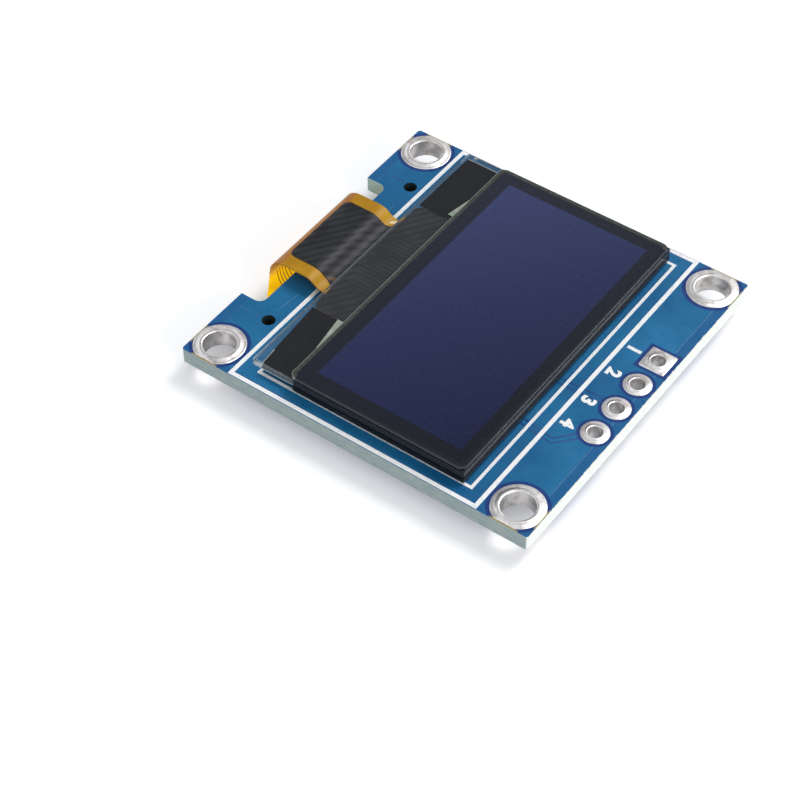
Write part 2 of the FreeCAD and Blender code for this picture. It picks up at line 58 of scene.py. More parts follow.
# %% Place the camera
CAMERA_PLACE = Vector((85.13, 56.88, 106.84)) * MM
CAMERA_TARGET = Vector((8.75, 0.70, 2.335)) * MM
LENS = 98.88
ROLL = math.radians(-0.471)

camera_data = bpy.data.cameras.new("camera")
camera_data.lens = LENS
camera_data.sensor_width = 36.0
camera_data.clip_start = 0.005
camera_data.clip_end = 20.0
camera = bpy.data.objects.new("camera", camera_data)
bpy.context.scene.collection.objects.link(camera)
camera.location = CAMERA_PLACE
camera.rotation_mode = "QUATERNION"
level = (CAMERA_TARGET - CAMERA_PLACE).to_track_quat("-Z", "Y")
camera.rotation_quaternion = level @ Quaternion((0.0, 0.0, 1.0), ROLL)
bpy.context.scene.camera = camera
bpy.context.scene.view_settings.view_transform = "Standard"
print("camera stands", round((CAMERA_PLACE - CAMERA_TARGET).length / MM, 1), "mm from its target")

# %% [markdown]
# ## One helper for all node trees
# A material and a Geometry Nodes tree are both made of nodes that feed each other. One
# function adds a node, sets its options and fills its inputs, with a number, a colour
# written as on a paint chart, or the output of another node.

# %% Add a node to a tree
def paint(code):
    """Turns a colour code such as 2F6A9E into the linear colour that shaders work with."""
    shares = [int(code[i : i + 2], 16) / 255 for i in (0, 2, 4)]
    linear = [c / 12.92 if c <= 0.04045 else ((c + 0.055) / 1.055) ** 2.4 for c in shares]
    return (*linear, 1.0)


def add(tree, kind, inputs, stops=None, **options):
    """Adds a node to a tree, sets its options and stops, and fills or links its inputs."""
    made = tree.nodes.new(kind)
    for name, value in options.items():
        setattr(made, name, value)
    for at, code in stops or []:
        if at == stops[0][0]:
            stop = made.color_ramp.elements[0]
            made.color_ramp.elements.remove(made.color_ramp.elements[1])
            stop.position = at
        else:
            stop = made.color_ramp.elements.new(at)
        stop.color = paint(code)
    for key, value in inputs.items():
        if isinstance(value, bpy.types.Node):
            value = next(socket for socket in value.outputs if socket.enabled)
        if isinstance(value, bpy.types.NodeSocket):
            tree.links.new(value, made.inputs[key])
        else:
            made.inputs[key].default_value = paint(value) if isinstance(value, str) else value
    return made


def start_finish(name):
    """Starts a finish and returns it with its tree, its shader and the place in millimetres."""
    finish = bpy.data.materials.new(name)
    finish.use_nodes = True
    tree = finish.node_tree
    tree.nodes.clear()
    shader = add(tree, "ShaderNodeBsdfPrincipled", {})
    add(tree, "ShaderNodeOutputMaterial", {"Surface": shader})
    where = add(tree, "ShaderNodeTexCoord", {})
    place = add(tree, "ShaderNodeVectorMath", {0: where.outputs["Object"], "Scale": 1 / MM}, operation="SCALE")
    return finish, tree, shader, place


def set_shader(tree, shader, inputs):
    """Fills the shader's own sockets with numbers, colours or the outputs of other nodes."""
    for key, value in inputs.items():
        if isinstance(value, bpy.types.Node):
            value = next(socket for socket in value.outputs if socket.enabled)
        if isinstance(value, bpy.types.NodeSocket):
            tree.links.new(value, shader.inputs[key])
        else:
            shader.inputs[key].default_value = paint(value) if isinstance(value, str) else value


def dress(finish, *names):
    """Gives a finish to solids by their names."""
    for name in names:
        for slot in solids[name].material_slots:
            slot.material = finish
    print(finish.name, "on", len(names), "solids")


# %% [markdown]
# ## The floor and the light
# The module lies on a plain white floor in a bright, soft studio. The walls are white at
# the height of the floor and a little greyer overhead, so that tin looks bright and the
# glass stays dark. A grey card hangs where the level glass mirrors, as in a real studio, or
# a pale veil would lie over the black films. The main lamp hangs beyond the far side and
# throws the shadow towards
# the camera's left. A second lamp lights the side with the header holes, which is the
# bright side in the photograph.

# %% Make the floor
floor_finish, tree, shader, place = start_finish("white studio paper")
sight = add(tree, "ShaderNodeLightPath", {})
grain = add(tree, "ShaderNodeTexNoise", {"Vector": place, "Scale": 0.6, "Detail": 4.0})
paper = add(tree, "ShaderNodeValToRGB", {0: grain}, stops=[(0.3, "F4F5F7"), (0.7, "F8F8F9")])
glow = add(tree, "ShaderNodeMath", {0: sight.outputs["Is Camera Ray"], 1: 0.24}, operation="MULTIPLY")
set_shader(tree, shader, {"Base Color": paper, "Roughness": 0.8, "Emission Color": "FFFFFF", "Emission Strength": glow})

FLOOR_HALF = 0.6
FLOOR_DROP = 0.00002
floor_mesh = bpy.data.meshes.new("floor")
corners = [(-FLOOR_HALF, -FLOOR_HALF), (FLOOR_HALF, -FLOOR_HALF), (FLOOR_HALF, FLOOR_HALF), (-FLOOR_HALF, FLOOR_HALF)]
floor_mesh.from_pydata([(x, y, -FLOOR_DROP) for x, y in corners], [], [(0, 1, 2, 3)])
floor_mesh.materials.append(floor_finish)
floor = bpy.data.objects.new("floor", floor_mesh)
bpy.context.scene.collection.objects.link(floor)
print("floor", 2 * FLOOR_HALF, "m wide")

# %% Light the studio
world = bpy.data.worlds.new("studio")
world.use_nodes = True
world.node_tree.nodes.clear()
bpy.context.scene.world = world
walls = world.node_tree
sight = add(walls, "ShaderNodeLightPath", {})
seen = add(walls, "ShaderNodeMath", {0: sight.outputs["Is Camera Ray"], 1: sight.outputs["Is Glossy Ray"]}, operation="MAXIMUM")
direction = add(walls, "ShaderNodeTexCoord", {})
height = add(walls, "ShaderNodeSeparateXYZ", {0: direction.outputs["Generated"]})
shade = add(walls, "ShaderNodeValToRGB", {0: height.outputs["Z"]}, stops=[(0.0, "FFFFFF"), (0.4, "F3F4F6"), (1.0, "D4D7DC")])
CARD_WAY = (-0.53, -0.45, 0.72)
CARD_INNER = math.cos(math.radians(7))
CARD_OUTER = math.cos(math.radians(26))
card_share = add(walls, "ShaderNodeVectorMath", {0: direction.outputs["Generated"], 1: CARD_WAY}, operation="DOT_PRODUCT")
on_card = add(walls, "ShaderNodeMapRange", {"Value": card_share.outputs["Value"], "From Min": CARD_OUTER, "From Max": CARD_INNER}, interpolation_type="SMOOTHSTEP")
sky = add(walls, "ShaderNodeMix", {0: on_card, 6: shade, 7: "8A8D93"}, data_type="RGBA")
strength = add(walls, "ShaderNodeMapRange", {"Value": seen, "To Min": 0.54, "To Max": 1.0})
light = add(walls, "ShaderNodeBackground", {"Color": sky, "Strength": strength})
add(walls, "ShaderNodeOutputWorld", {"Surface": light})

LAMPS = {
    "lamp_key": ((-0.30, 0.12, 0.49), 0.24, 1.62),
    "lamp_header_side": ((0.12, 0.52, 0.20), 0.30, 1.40),
    "lamp_right_side": ((0.50, -0.18, 0.26), 0.26, 0.25),
}
for name, (spot, width, power) in LAMPS.items():
    lamp_data = bpy.data.lights.new(name, "AREA")
    lamp_data.size = width
    lamp_data.energy = power
    lamp = bpy.data.objects.new(name, lamp_data)
    bpy.context.scene.collection.objects.link(lamp)
    lamp.location = spot
    lamp.rotation_euler = (-Vector(spot)).to_track_quat("-Z", "Y").to_euler()
print("lamps", list(LAMPS))

# %% [markdown]
# ## The blue board
# The board is glass cloth in epoxy, covered with copper and then with a blue solder mask,
# a thin glossy lacquer. Over copper the lacquer looks light, and where the copper is etched
# away it looks dark. So the finish starts from the distance to the copper's own outlines:
# the clearance round each mounting ring and header pad, and the bare strip along the edge.
# The side faces have no lacquer. There the cut glass cloth shows in thin level layers.

# %% The places where the copper is etched away
RING_SPOT = (11.67, 11.82, 0.0)
RING_CLEAR = 2.06
PAD_PITCH = 2.54
PAD_LINE = 12.38
PAD_CLEAR = 1.2
POUR_X = 12.95
POUR_Y = 12.92

board_finish, tree, shader, place = start_finish("blue solder mask on glass epoxy")
spot = add(tree, "ShaderNodeSeparateXYZ", {0: place})
across = add(tree, "ShaderNodeMath", {0: spot.outputs["X"]}, operation="ABSOLUTE")
along = add(tree, "ShaderNodeMath", {0: spot.outputs["Y"]}, operation="ABSOLUTE")
quarter = add(tree, "ShaderNodeCombineXYZ", {"X": across, "Y": along})
to_ring = add(tree, "ShaderNodeVectorMath", {0: quarter, 1: RING_SPOT}, operation="DISTANCE")
near_ring = add(tree, "ShaderNodeMath", {0: to_ring, 1: RING_CLEAR}, operation="LESS_THAN")
column = add(tree, "ShaderNodeMath", {0: spot.outputs["X"], 1: PAD_PITCH}, operation="FLOORED_MODULO")
offset = add(tree, "ShaderNodeMath", {0: column, 1: PAD_PITCH / 2}, operation="SUBTRACT")
rise = add(tree, "ShaderNodeMath", {0: spot.outputs["Y"], 1: PAD_LINE}, operation="SUBTRACT")
in_cell = add(tree, "ShaderNodeCombineXYZ", {"X": offset, "Y": rise})
to_pad = add(tree, "ShaderNodeVectorMath", {0: in_cell}, operation="LENGTH")
side_x = add(tree, "ShaderNodeMath", {0: offset}, operation="ABSOLUTE")
side_y = add(tree, "ShaderNodeMath", {0: rise}, operation="ABSOLUTE")
to_square = add(tree, "ShaderNodeMath", {0: side_x, 1: side_y}, operation="MAXIMUM")
is_first = add(tree, "ShaderNodeMath", {0: spot.outputs["X"], 1: -PAD_PITCH}, operation="LESS_THAN")
pad_edge = add(tree, "ShaderNodeMix", {0: is_first, 2: to_pad, 3: to_square})
near_pad = add(tree, "ShaderNodeMath", {0: pad_edge, 1: PAD_CLEAR}, operation="LESS_THAN")
in_row = add(tree, "ShaderNodeMath", {0: across, 1: 2 * PAD_PITCH}, operation="LESS_THAN")
pad_gap = add(tree, "ShaderNodeMath", {0: near_pad, 1: in_row}, operation="MULTIPLY")
clearance = add(tree, "ShaderNodeMath", {0: near_ring, 1: pad_gap}, operation="MAXIMUM")
over_x = add(tree, "ShaderNodeMath", {0: across, 1: POUR_X}, operation="SUBTRACT")
over_y = add(tree, "ShaderNodeMath", {0: along, 1: POUR_Y}, operation="SUBTRACT")
past_pour = add(tree, "ShaderNodeMath", {0: over_x, 1: over_y}, operation="MAXIMUM")
bare = add(tree, "ShaderNodeMapRange", {"Value": past_pour, "From Min": -0.04, "From Max": 0.04})
print("clearance", RING_CLEAR, "mm round a ring and", PAD_CLEAR, "mm round a pad")

# %% [markdown]
# The lacquer's blue wanders a little, because its thickness does. The mask breaks away in
# small pale chips along the sawn edge behind the header holes, and where a mounting ring
# was cut by the board's edge, the tan laminate shows.

# %% The lacquer, its chips and the cut sides
wander = add(tree, "ShaderNodeTexNoise", {"Vector": place, "Scale": 0.22, "Detail": 3.0})
lacquer = add(tree, "ShaderNodeValToRGB", {0: wander}, stops=[(0.3, "125C8D"), (0.5, "196898"), (0.72, "2375A6")])
over_bare = add(tree, "ShaderNodeMix", {0: bare, 6: lacquer, 7: "1B6094"}, data_type="RGBA")
blue = add(tree, "ShaderNodeMix", {0: clearance, 6: over_bare, 7: "183C7C"}, data_type="RGBA")

ragged = add(tree, "ShaderNodeTexNoise", {"Vector": place, "Scale": 2.6, "Detail": 5.0, "Roughness": 0.7})
chip_line = add(tree, "ShaderNodeMapRange", {"Value": ragged, "From Min": 0.5, "From Max": 0.8, "To Min": 13.63, "To Max": 13.53})
chipped = add(tree, "ShaderNodeMath", {0: spot.outputs["Y"], 1: chip_line}, operation="GREATER_THAN")
ring_rim = add(tree, "ShaderNodeMath", {0: to_ring, 1: 1.97}, operation="LESS_THAN")
edge_x = add(tree, "ShaderNodeMath", {0: across, 1: 13.29}, operation="GREATER_THAN")
edge_y = add(tree, "ShaderNodeMath", {0: along, 1: 13.54}, operation="GREATER_THAN")
edge = add(tree, "ShaderNodeMath", {0: edge_x, 1: edge_y}, operation="MAXIMUM")
tan = add(tree, "ShaderNodeMath", {0: ring_rim, 1: edge}, operation="MULTIPLY")
tanned = add(tree, "ShaderNodeMix", {0: tan, 6: blue, 7: "A89B6C"}, data_type="RGBA")
top_colour = add(tree, "ShaderNodeMix", {0: chipped, 6: tanned, 7: "D6DDD2"}, data_type="RGBA")

ply = add(tree, "ShaderNodeVectorMath", {0: place, 1: (1.6, 1.6, 9.0)}, operation="MULTIPLY")
cloth = add(tree, "ShaderNodeTexNoise", {"Vector": ply, "Scale": 1.0, "Detail": 6.0, "Roughness": 0.65})
cut_side = add(tree, "ShaderNodeValToRGB", {0: cloth}, stops=[(0.3, "8CA2A7"), (0.5, "A0B0B0"), (0.7, "BAC3B8")])
facing = add(tree, "ShaderNodeTexCoord", {})
lean = add(tree, "ShaderNodeSeparateXYZ", {0: facing.outputs["Normal"]})
level_face = add(tree, "ShaderNodeMath", {0: lean.outputs["Z"]}, operation="ABSOLUTE")
is_face = add(tree, "ShaderNodeMath", {0: level_face, 1: 0.5}, operation="GREATER_THAN")
# Painted light: the side facing the header holes is painted nearly white, standing for the lamp that lights that side.
header_face = add(tree, "ShaderNodeMath", {0: lean.outputs["Y"], 1: 0.5}, operation="GREATER_THAN")
header_side_light = add(tree, "ShaderNodeMath", {0: header_face, 1: 0.88}, operation="MULTIPLY")
side_colour = add(tree, "ShaderNodeMix", {0: header_side_light, 6: cut_side, 7: "F6F8F3"}, data_type="RGBA")
TOOLING_SPOT = (8.05, -10.6, 0.0)
TOOLING_SHADE = 0.6
NOTCH_HALF = 7.3
NOTCH_END = -11.8
mirror_x = add(tree, "ShaderNodeCombineXYZ", {"X": across, "Y": spot.outputs["Y"]})
# Painted shade: the walls of the two tooling holes are painted almost black, as the shade inside them.
to_tooling = add(tree, "ShaderNodeVectorMath", {0: mirror_x, 1: TOOLING_SPOT}, operation="DISTANCE")
in_tooling_shade = add(tree, "ShaderNodeMath", {0: to_tooling, 1: TOOLING_SHADE}, operation="LESS_THAN")
in_mouth = add(tree, "ShaderNodeMath", {0: across, 1: NOTCH_HALF}, operation="LESS_THAN")
in_depth = add(tree, "ShaderNodeMath", {0: spot.outputs["Y"], 1: NOTCH_END}, operation="LESS_THAN")
in_notch = add(tree, "ShaderNodeMath", {0: in_mouth, 1: in_depth}, operation="MULTIPLY")
# The notch's walls are painted a paler blue-green than the other cut sides.
paler_notch = add(tree, "ShaderNodeMix", {0: in_notch, 6: side_colour, 7: "B6D0CE"}, data_type="RGBA")
wall_colour = add(tree, "ShaderNodeMix", {0: in_tooling_shade, 6: paler_notch, 7: "16282A"}, data_type="RGBA")
board_colour = add(tree, "ShaderNodeMix", {0: is_face, 6: wall_colour, 7: top_colour}, data_type="RGBA")

# %% The lacquer's gloss and relief
orange_peel = add(tree, "ShaderNodeTexNoise", {"Vector": place, "Scale": 1.4, "Detail": 2.0})
peel = add(tree, "ShaderNodeMath", {0: orange_peel, 1: 0.35}, operation="MULTIPLY")
dip = add(tree, "ShaderNodeMath", {0: clearance, 1: bare}, operation="MAXIMUM")
step = add(tree, "ShaderNodeMath", {0: peel, 1: dip}, operation="SUBTRACT")
fibres = add(tree, "ShaderNodeMath", {0: cloth, 1: 6.0}, operation="MULTIPLY")
relief = add(tree, "ShaderNodeMix", {0: is_face, 2: fibres, 3: step})
bump = add(tree, "ShaderNodeBump", {"Height": relief, "Strength": 0.6, "Distance": 0.02 * MM})
gloss = add(tree, "ShaderNodeMapRange", {"Value": orange_peel, "From Min": 0.3, "From Max": 0.7, "To Min": 0.26, "To Max": 0.38})
matt = add(tree, "ShaderNodeMix", {0: is_face, 2: 0.85, 3: gloss})
set_shader(tree, shader, {"Base Color": board_colour, "Roughness": matt, "Normal": bump, "Specular IOR Level": 0.35})
dress(board_finish, "circuit_board")

# %% [markdown]
# ## Tinned metal
# The mounting rings, the header pads, the solder pads and the ends of the small parts are
# copper with a coat of tin that was blown level with hot air. It is bright and soft, with
# cloudy patches where it cooled at different speeds.

# %% The tin
tin_finish, tree, shader, place = start_finish("tin levelled with hot air")
cloud = add(tree, "ShaderNodeTexNoise", {"Vector": place, "Scale": 1.5, "Detail": 4.0, "Roughness": 0.5})
silver = add(tree, "ShaderNodeValToRGB", {0: cloud}, stops=[(0.32, "C2BCB8"), (0.5, "EAE6E3"), (0.75, "FAF8F7")])
sheen = add(tree, "ShaderNodeMapRange", {"Value": cloud, "From Min": 0.3, "From Max": 0.75, "To Min": 0.40, "To Max": 0.26})
lumps = add(tree, "ShaderNodeTexNoise", {"Vector": place, "Scale": 1.6, "Detail": 2.0, "Roughness": 0.4})
bump = add(tree, "ShaderNodeBump", {"Height": lumps, "Strength": 0.5, "Distance": 0.06 * MM})
set_shader(tree, shader, {"Base Color": silver, "Metallic": 1.0, "Roughness": sheen, "Normal": bump})
tinned = [name for name in solids if name.endswith("_ends") or name.startswith(("mounting_ring", "header_pad"))]
dress(tin_finish, *tinned, "solder_pads")

solder_finish, tree, shader, place = start_finish("melted solder")
cloud = add(tree, "ShaderNodeTexNoise", {"Vector": place, "Scale": 2.4, "Detail": 4.0})
silver = add(tree, "ShaderNodeValToRGB", {0: cloud}, stops=[(0.3, "8F8E8D"), (0.7, "C4C2C0")])
sheen = add(tree, "ShaderNodeMapRange", {"Value": cloud, "To Min": 0.42, "To Max": 0.22})
bump = add(tree, "ShaderNodeBump", {"Height": cloud, "Strength": 0.5, "Distance": 0.05 * MM})
set_shader(tree, shader, {"Base Color": silver, "Metallic": 1.0, "Roughness": sheen, "Normal": bump})
dress(solder_finish, "solder_fillets", "flex_solder_joints", "regulator_leads", "diode_leads")

# %% [markdown]
# ## White printing
# The two rectangles and the numbers are screen printed in thick white ink. The ink is matt
# and covers well, but its mesh leaves a faint grain and slightly thin spots.

# %% The ink
ink_finish, tree, shader, place = start_finish("white screen ink")
thin = add(tree, "ShaderNodeTexNoise", {"Vector": place, "Scale": 3.2, "Detail": 3.0})
white = add(tree, "ShaderNodeValToRGB", {0: thin}, stops=[(0.28, "DFE9EE"), (0.42, "F9FAFA"), (0.8, "FFFFFF")])
mesh_grain = add(tree, "ShaderNodeTexNoise", {"Vector": place, "Scale": 9.0, "Detail": 1.0})
bump = add(tree, "ShaderNodeBump", {"Height": mesh_grain, "Strength": 0.3, "Distance": 0.02 * MM})
set_shader(tree, shader, {"Base Color": white, "Roughness": 0.55, "Normal": bump, "Specular IOR Level": 0.3})
dress(ink_finish, "printed_frames")

# %% [markdown]
# ## The panel: tape, cap glass and seal
# Black foam tape holds the panel on the board. The lower plate is the cap glass, which
# looks nearly black because a drying film lines it. Its cut edges are cloudy and streaked.
# Between the plates lie the dark seal and the layer that lights up.

# %% The dark parts of the panel
tape_finish, tree, shader, place = start_finish("black foam tape")
foam = add(tree, "ShaderNodeTexNoise", {"Vector": place, "Scale": 5.0, "Detail": 5.0, "Roughness": 0.7})
black = add(tree, "ShaderNodeValToRGB", {0: foam}, stops=[(0.3, "0C0D0F"), (0.7, "232528")])
bump = add(tree, "ShaderNodeBump", {"Height": foam, "Strength": 0.8, "Distance": 0.06 * MM})
set_shader(tree, shader, {"Base Color": black, "Roughness": 0.82, "Normal": bump, "Specular IOR Level": 0.25})
dress(tape_finish, "adhesive_tape")

cap_finish, tree, shader, place = start_finish("cap glass over a drying film")
streak = add(tree, "ShaderNodeVectorMath", {0: place, 1: (0.5, 0.5, 7.0)}, operation="MULTIPLY")
cut = add(tree, "ShaderNodeTexNoise", {"Vector": streak, "Scale": 1.0, "Detail": 3.0, "Roughness": 0.5})
dark = add(tree, "ShaderNodeValToRGB", {0: cut}, stops=[(0.35, "121418"), (0.6, "1B1E23"), (0.8, "33393D")])
gloss = add(tree, "ShaderNodeMapRange", {"Value": cut, "From Min": 0.35, "From Max": 0.75, "To Min": 0.30, "To Max": 0.42})
bump = add(tree, "ShaderNodeBump", {"Height": cut, "Strength": 0.2, "Distance": 0.02 * MM})
set_shader(tree, shader, {"Base Color": dark, "Roughness": gloss, "Normal": bump, "Specular IOR Level": 0.25})

seal_finish, tree, shader, place = start_finish("dark cured seal resin")
cloud = add(tree, "ShaderNodeTexNoise", {"Vector": place, "Scale": 2.0, "Detail": 3.0})
dark = add(tree, "ShaderNodeValToRGB", {0: cloud}, stops=[(0.3, "0E0E11"), (0.7, "1B1C20")])
bump = add(tree, "ShaderNodeBump", {"Height": cloud, "Strength": 0.3, "Distance": 0.02 * MM})
set_shader(tree, shader, {"Base Color": dark, "Roughness": 0.5, "Normal": bump, "Specular IOR Level": 0.2})
dress(seal_finish, "seal_frame", "active_layer")

# %% [markdown]
# ## The clear glass plate
# The upper plate is clear soda-lime glass, 0.6 mm thick, that reaches past the polarizer
# towards the notch as a clear ledge. It is made new here, because real glass has a narrow
# bevel along its cut edges that catches the light, and because the films are laminated to
# its lower face: the glass reaches round them by a hair, so that no air shows between. The
# eye's rays bend in the glass, but the light for the films below passes straight through,
# or bright specks would show where only even light falls. The
# same function makes the polarizer, which has rounded corners.

# %% A plate with a bevel
CORNER_STEPS = 8


def keep(mesh, name, finish):
    """Makes a piece of a mesh that is in its place, gives it a finish and lets it ride."""
    mesh.materials.clear()
    mesh.materials.append(finish)
    piece = bpy.data.objects.new(name, mesh)
    bpy.context.scene.collection.objects.link(piece)
    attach(piece, "root")
    print(name, "has", len(mesh.polygons), "faces")
    return piece


def rounded(low, high, corner):
    """The outline of a rectangle with rounded corners, in millimetres."""
    outline = []
    middles = ((high[0] - corner, high[1] - corner), (low[0] + corner, high[1] - corner),
               (low[0] + corner, low[1] + corner), (high[0] - corner, low[1] + corner))
    for turn, (x, y) in enumerate(middles):
        for step in range(CORNER_STEPS + 1):
            angle = math.radians(90 * (turn + step / CORNER_STEPS))
            outline.append((x + corner * math.cos(angle), y + corner * math.sin(angle)))
    return outline


def plate(name, outline, bottom, top, bevel=0.0):
    """A flat plate over an outline, between two heights in millimetres, with its sharp edges cut off."""
    shell = bmesh.new()
    lid = shell.faces.new([shell.verts.new((x * MM, y * MM, top * MM)) for x, y in outline])
    grown = bmesh.ops.extrude_face_region(shell, geom=[lid])
    lowered = [part for part in grown["geom"] if isinstance(part, bmesh.types.BMVert)]
    bmesh.ops.translate(shell, verts=lowered, vec=(0, 0, (bottom - top) * MM))
    bmesh.ops.recalc_face_normals(shell, faces=shell.faces)
    if bevel:
        sharp = [edge for edge in shell.edges if edge.calc_face_angle(0.0) > 1.0]
        bmesh.ops.bevel(shell, geom=sharp, offset=bevel * MM, segments=2, affect="EDGES")
        bmesh.ops.recalc_face_normals(shell, faces=shell.faces)
    mesh = bpy.data.meshes.new(name)
    shell.to_mesh(mesh)
    shell.free()
    return mesh


# %% The glass and its finish
glass_finish, tree, shader, place = start_finish("clear soda-lime glass")
facing = add(tree, "ShaderNodeTexCoord", {})
lean = add(tree, "ShaderNodeSeparateXYZ", {0: facing.outputs["Normal"]})
upright = add(tree, "ShaderNodeMath", {0: lean.outputs["Z"]}, operation="ABSOLUTE")
is_cut = add(tree, "ShaderNodeMath", {0: upright, 1: 0.95}, operation="LESS_THAN")
is_side = add(tree, "ShaderNodeMath", {0: upright, 1: 0.2}, operation="LESS_THAN")
streak = add(tree, "ShaderNodeVectorMath", {0: place, 1: (0.3, 0.3, 10.0)}, operation="MULTIPLY")
marks = add(tree, "ShaderNodeTexNoise", {"Vector": streak, "Scale": 1.0, "Detail": 2.0, "Roughness": 0.5})
rough_cut = add(tree, "ShaderNodeMapRange", {"Value": marks, "From Min": 0.35, "From Max": 0.7, "To Min": 0.08, "To Max": 0.24})
gloss = add(tree, "ShaderNodeMix", {0: is_cut, 2: 0.015, 3: rough_cut})
along = add(tree, "ShaderNodeSeparateXYZ", {0: place})
on_ledge = add(tree, "ShaderNodeMapRange", {"Value": along.outputs["Y"], "From Min": -5.2, "From Max": -5.5})
side_grey = add(tree, "ShaderNodeMix", {0: on_ledge, 6: "2C2F34", 7: "9AA4AB"}, data_type="RGBA")
# The bevel is painted pale grey: partly the ground edge's own frost, partly a painted highlight along the cut edges.
frost_and_glint = add(tree, "ShaderNodeMix", {0: is_side, 6: "8E979A", 7: side_grey}, data_type="RGBA")
tint = add(tree, "ShaderNodeMix", {0: is_cut, 6: "EEF4F2", 7: frost_and_glint}, data_type="RGBA")
side_clear = add(tree, "ShaderNodeMix", {0: on_ledge, 2: 0.08, 3: 0.72})
cut_clear = add(tree, "ShaderNodeMix", {0: is_side, 2: 0.50, 3: side_clear})
clear = add(tree, "ShaderNodeMix", {0: is_cut, 2: 1.0, 3: cut_clear})
ray = add(tree, "ShaderNodeLightPath", {})
solid_look = add(tree, "ShaderNodeMath", {0: ray.outputs["Is Camera Ray"], 1: ray.outputs["Is Transmission Ray"]}, operation="MAXIMUM")
cut_height = add(tree, "ShaderNodeMath", {0: marks, 1: is_cut}, operation="MULTIPLY")
bump = add(tree, "ShaderNodeBump", {"Height": cut_height, "Strength": 0.15, "Distance": 0.01 * MM})
set_shader(tree, shader, {
    "Base Color": tint, "Roughness": gloss, "Normal": bump,
    "Transmission Weight": clear, "IOR": 1.52, "Specular IOR Level": 0.12, "Alpha": solid_look,
})
HAIR = 0.004
GLASS_CORNER = 0.10
GLASS_BEVEL = 0.07
glass_low, glass_high = [[side / MM for side in corner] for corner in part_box("substrate_glass")]
glass_outline = rounded(glass_low, glass_high, GLASS_CORNER)
glass = keep(plate("top_glass", glass_outline, glass_low[2] - HAIR, glass_high[2], GLASS_BEVEL), "top_glass", glass_finish)
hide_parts("substrate_glass")

cap_low, cap_high = [[side / MM for side in corner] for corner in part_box("cap_glass")]
CAP_BEVEL = 0.06
cap_outline = rounded(cap_low, cap_high, GLASS_CORNER)
cap = keep(plate("lower_cap", cap_outline, cap_low[2], cap_high[2], CAP_BEVEL), "lower_cap", cap_finish)
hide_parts("cap_glass")

# %% [markdown]
# ## The polarizer
# A polarizer film covers the glass. It keeps stray light in, so the display looks dark
# navy where the pixels lie and charcoal round them. Its outermost strip towards the notch
# and the left has no seal below it and looks olive grey. Its cut edge is a fine line,
# painted pale towards the notch as a painted highlight. The film is satin, not mirror
# bright, and is painted lighter towards the far side as a painted sheen. The pixels stand
# 0.17 mm apart, which shows only as a faint weave.

# %% The distance inwards from the film's rounded outline
film_low, film_high = [[side / MM for side in corner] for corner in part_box("polarizer")]
FILM_CORNER = 0.5
half_x = (film_high[0] - film_low[0]) / 2 - FILM_CORNER
half_y = (film_high[1] - film_low[1]) / 2 - FILM_CORNER
film_middle = (0.0, (film_high[1] + film_low[1]) / 2, 0.0)

film_finish, tree, shader, place = start_finish("satin polarizer film")
from_middle = add(tree, "ShaderNodeVectorMath", {0: place, 1: film_middle}, operation="SUBTRACT")
folded = add(tree, "ShaderNodeVectorMath", {0: from_middle}, operation="ABSOLUTE")
beyond = add(tree, "ShaderNodeVectorMath", {0: folded, 1: (half_x, half_y, 100.0)}, operation="SUBTRACT")
kept = add(tree, "ShaderNodeVectorMath", {0: beyond, 1: (0.0, 0.0, 0.0)}, operation="MAXIMUM")
corner_way = add(tree, "ShaderNodeVectorMath", {0: kept}, operation="LENGTH")
inwards = add(tree, "ShaderNodeMath", {0: FILM_CORNER, 1: corner_way}, operation="SUBTRACT")
print("film", [round(high - low, 2) for low, high in zip(film_low, film_high)], "mm")

# %% The pixel field, the rim and the painted sheen
FIELD_X = 10.95
FIELD_LOW = -4.2
FIELD_HIGH = 7.0
PIXEL = 0.171
RIM = 0.36
RIM_LINE = 0.07
RIM_TURN_X = -11.7
RIM_TURN_Y = -5.1

spot = add(tree, "ShaderNodeSeparateXYZ", {0: place})
across = add(tree, "ShaderNodeMath", {0: spot.outputs["X"]}, operation="ABSOLUTE")
past_x = add(tree, "ShaderNodeMath", {0: across, 1: FIELD_X}, operation="SUBTRACT")
middle_y = add(tree, "ShaderNodeMath", {0: spot.outputs["Y"], 1: (FIELD_HIGH + FIELD_LOW) / 2}, operation="SUBTRACT")
away_y = add(tree, "ShaderNodeMath", {0: middle_y}, operation="ABSOLUTE")
past_y = add(tree, "ShaderNodeMath", {0: away_y, 1: (FIELD_HIGH - FIELD_LOW) / 2}, operation="SUBTRACT")
past = add(tree, "ShaderNodeMath", {0: past_x, 1: past_y}, operation="MAXIMUM")
in_field = add(tree, "ShaderNodeMapRange", {"Value": past, "From Min": 0.05, "From Max": -0.05})
cells = add(tree, "ShaderNodeVectorMath", {0: place, "Scale": 2 * math.pi / PIXEL}, operation="SCALE")
waves = add(tree, "ShaderNodeVectorMath", {0: cells}, operation="SINE")
weave = add(tree, "ShaderNodeVectorMath", {0: waves, 1: (1.0, 1.0, 0.0)}, operation="DOT_PRODUCT")
weave_share = add(tree, "ShaderNodeMath", {0: weave, 1: 0.012}, operation="MULTIPLY")
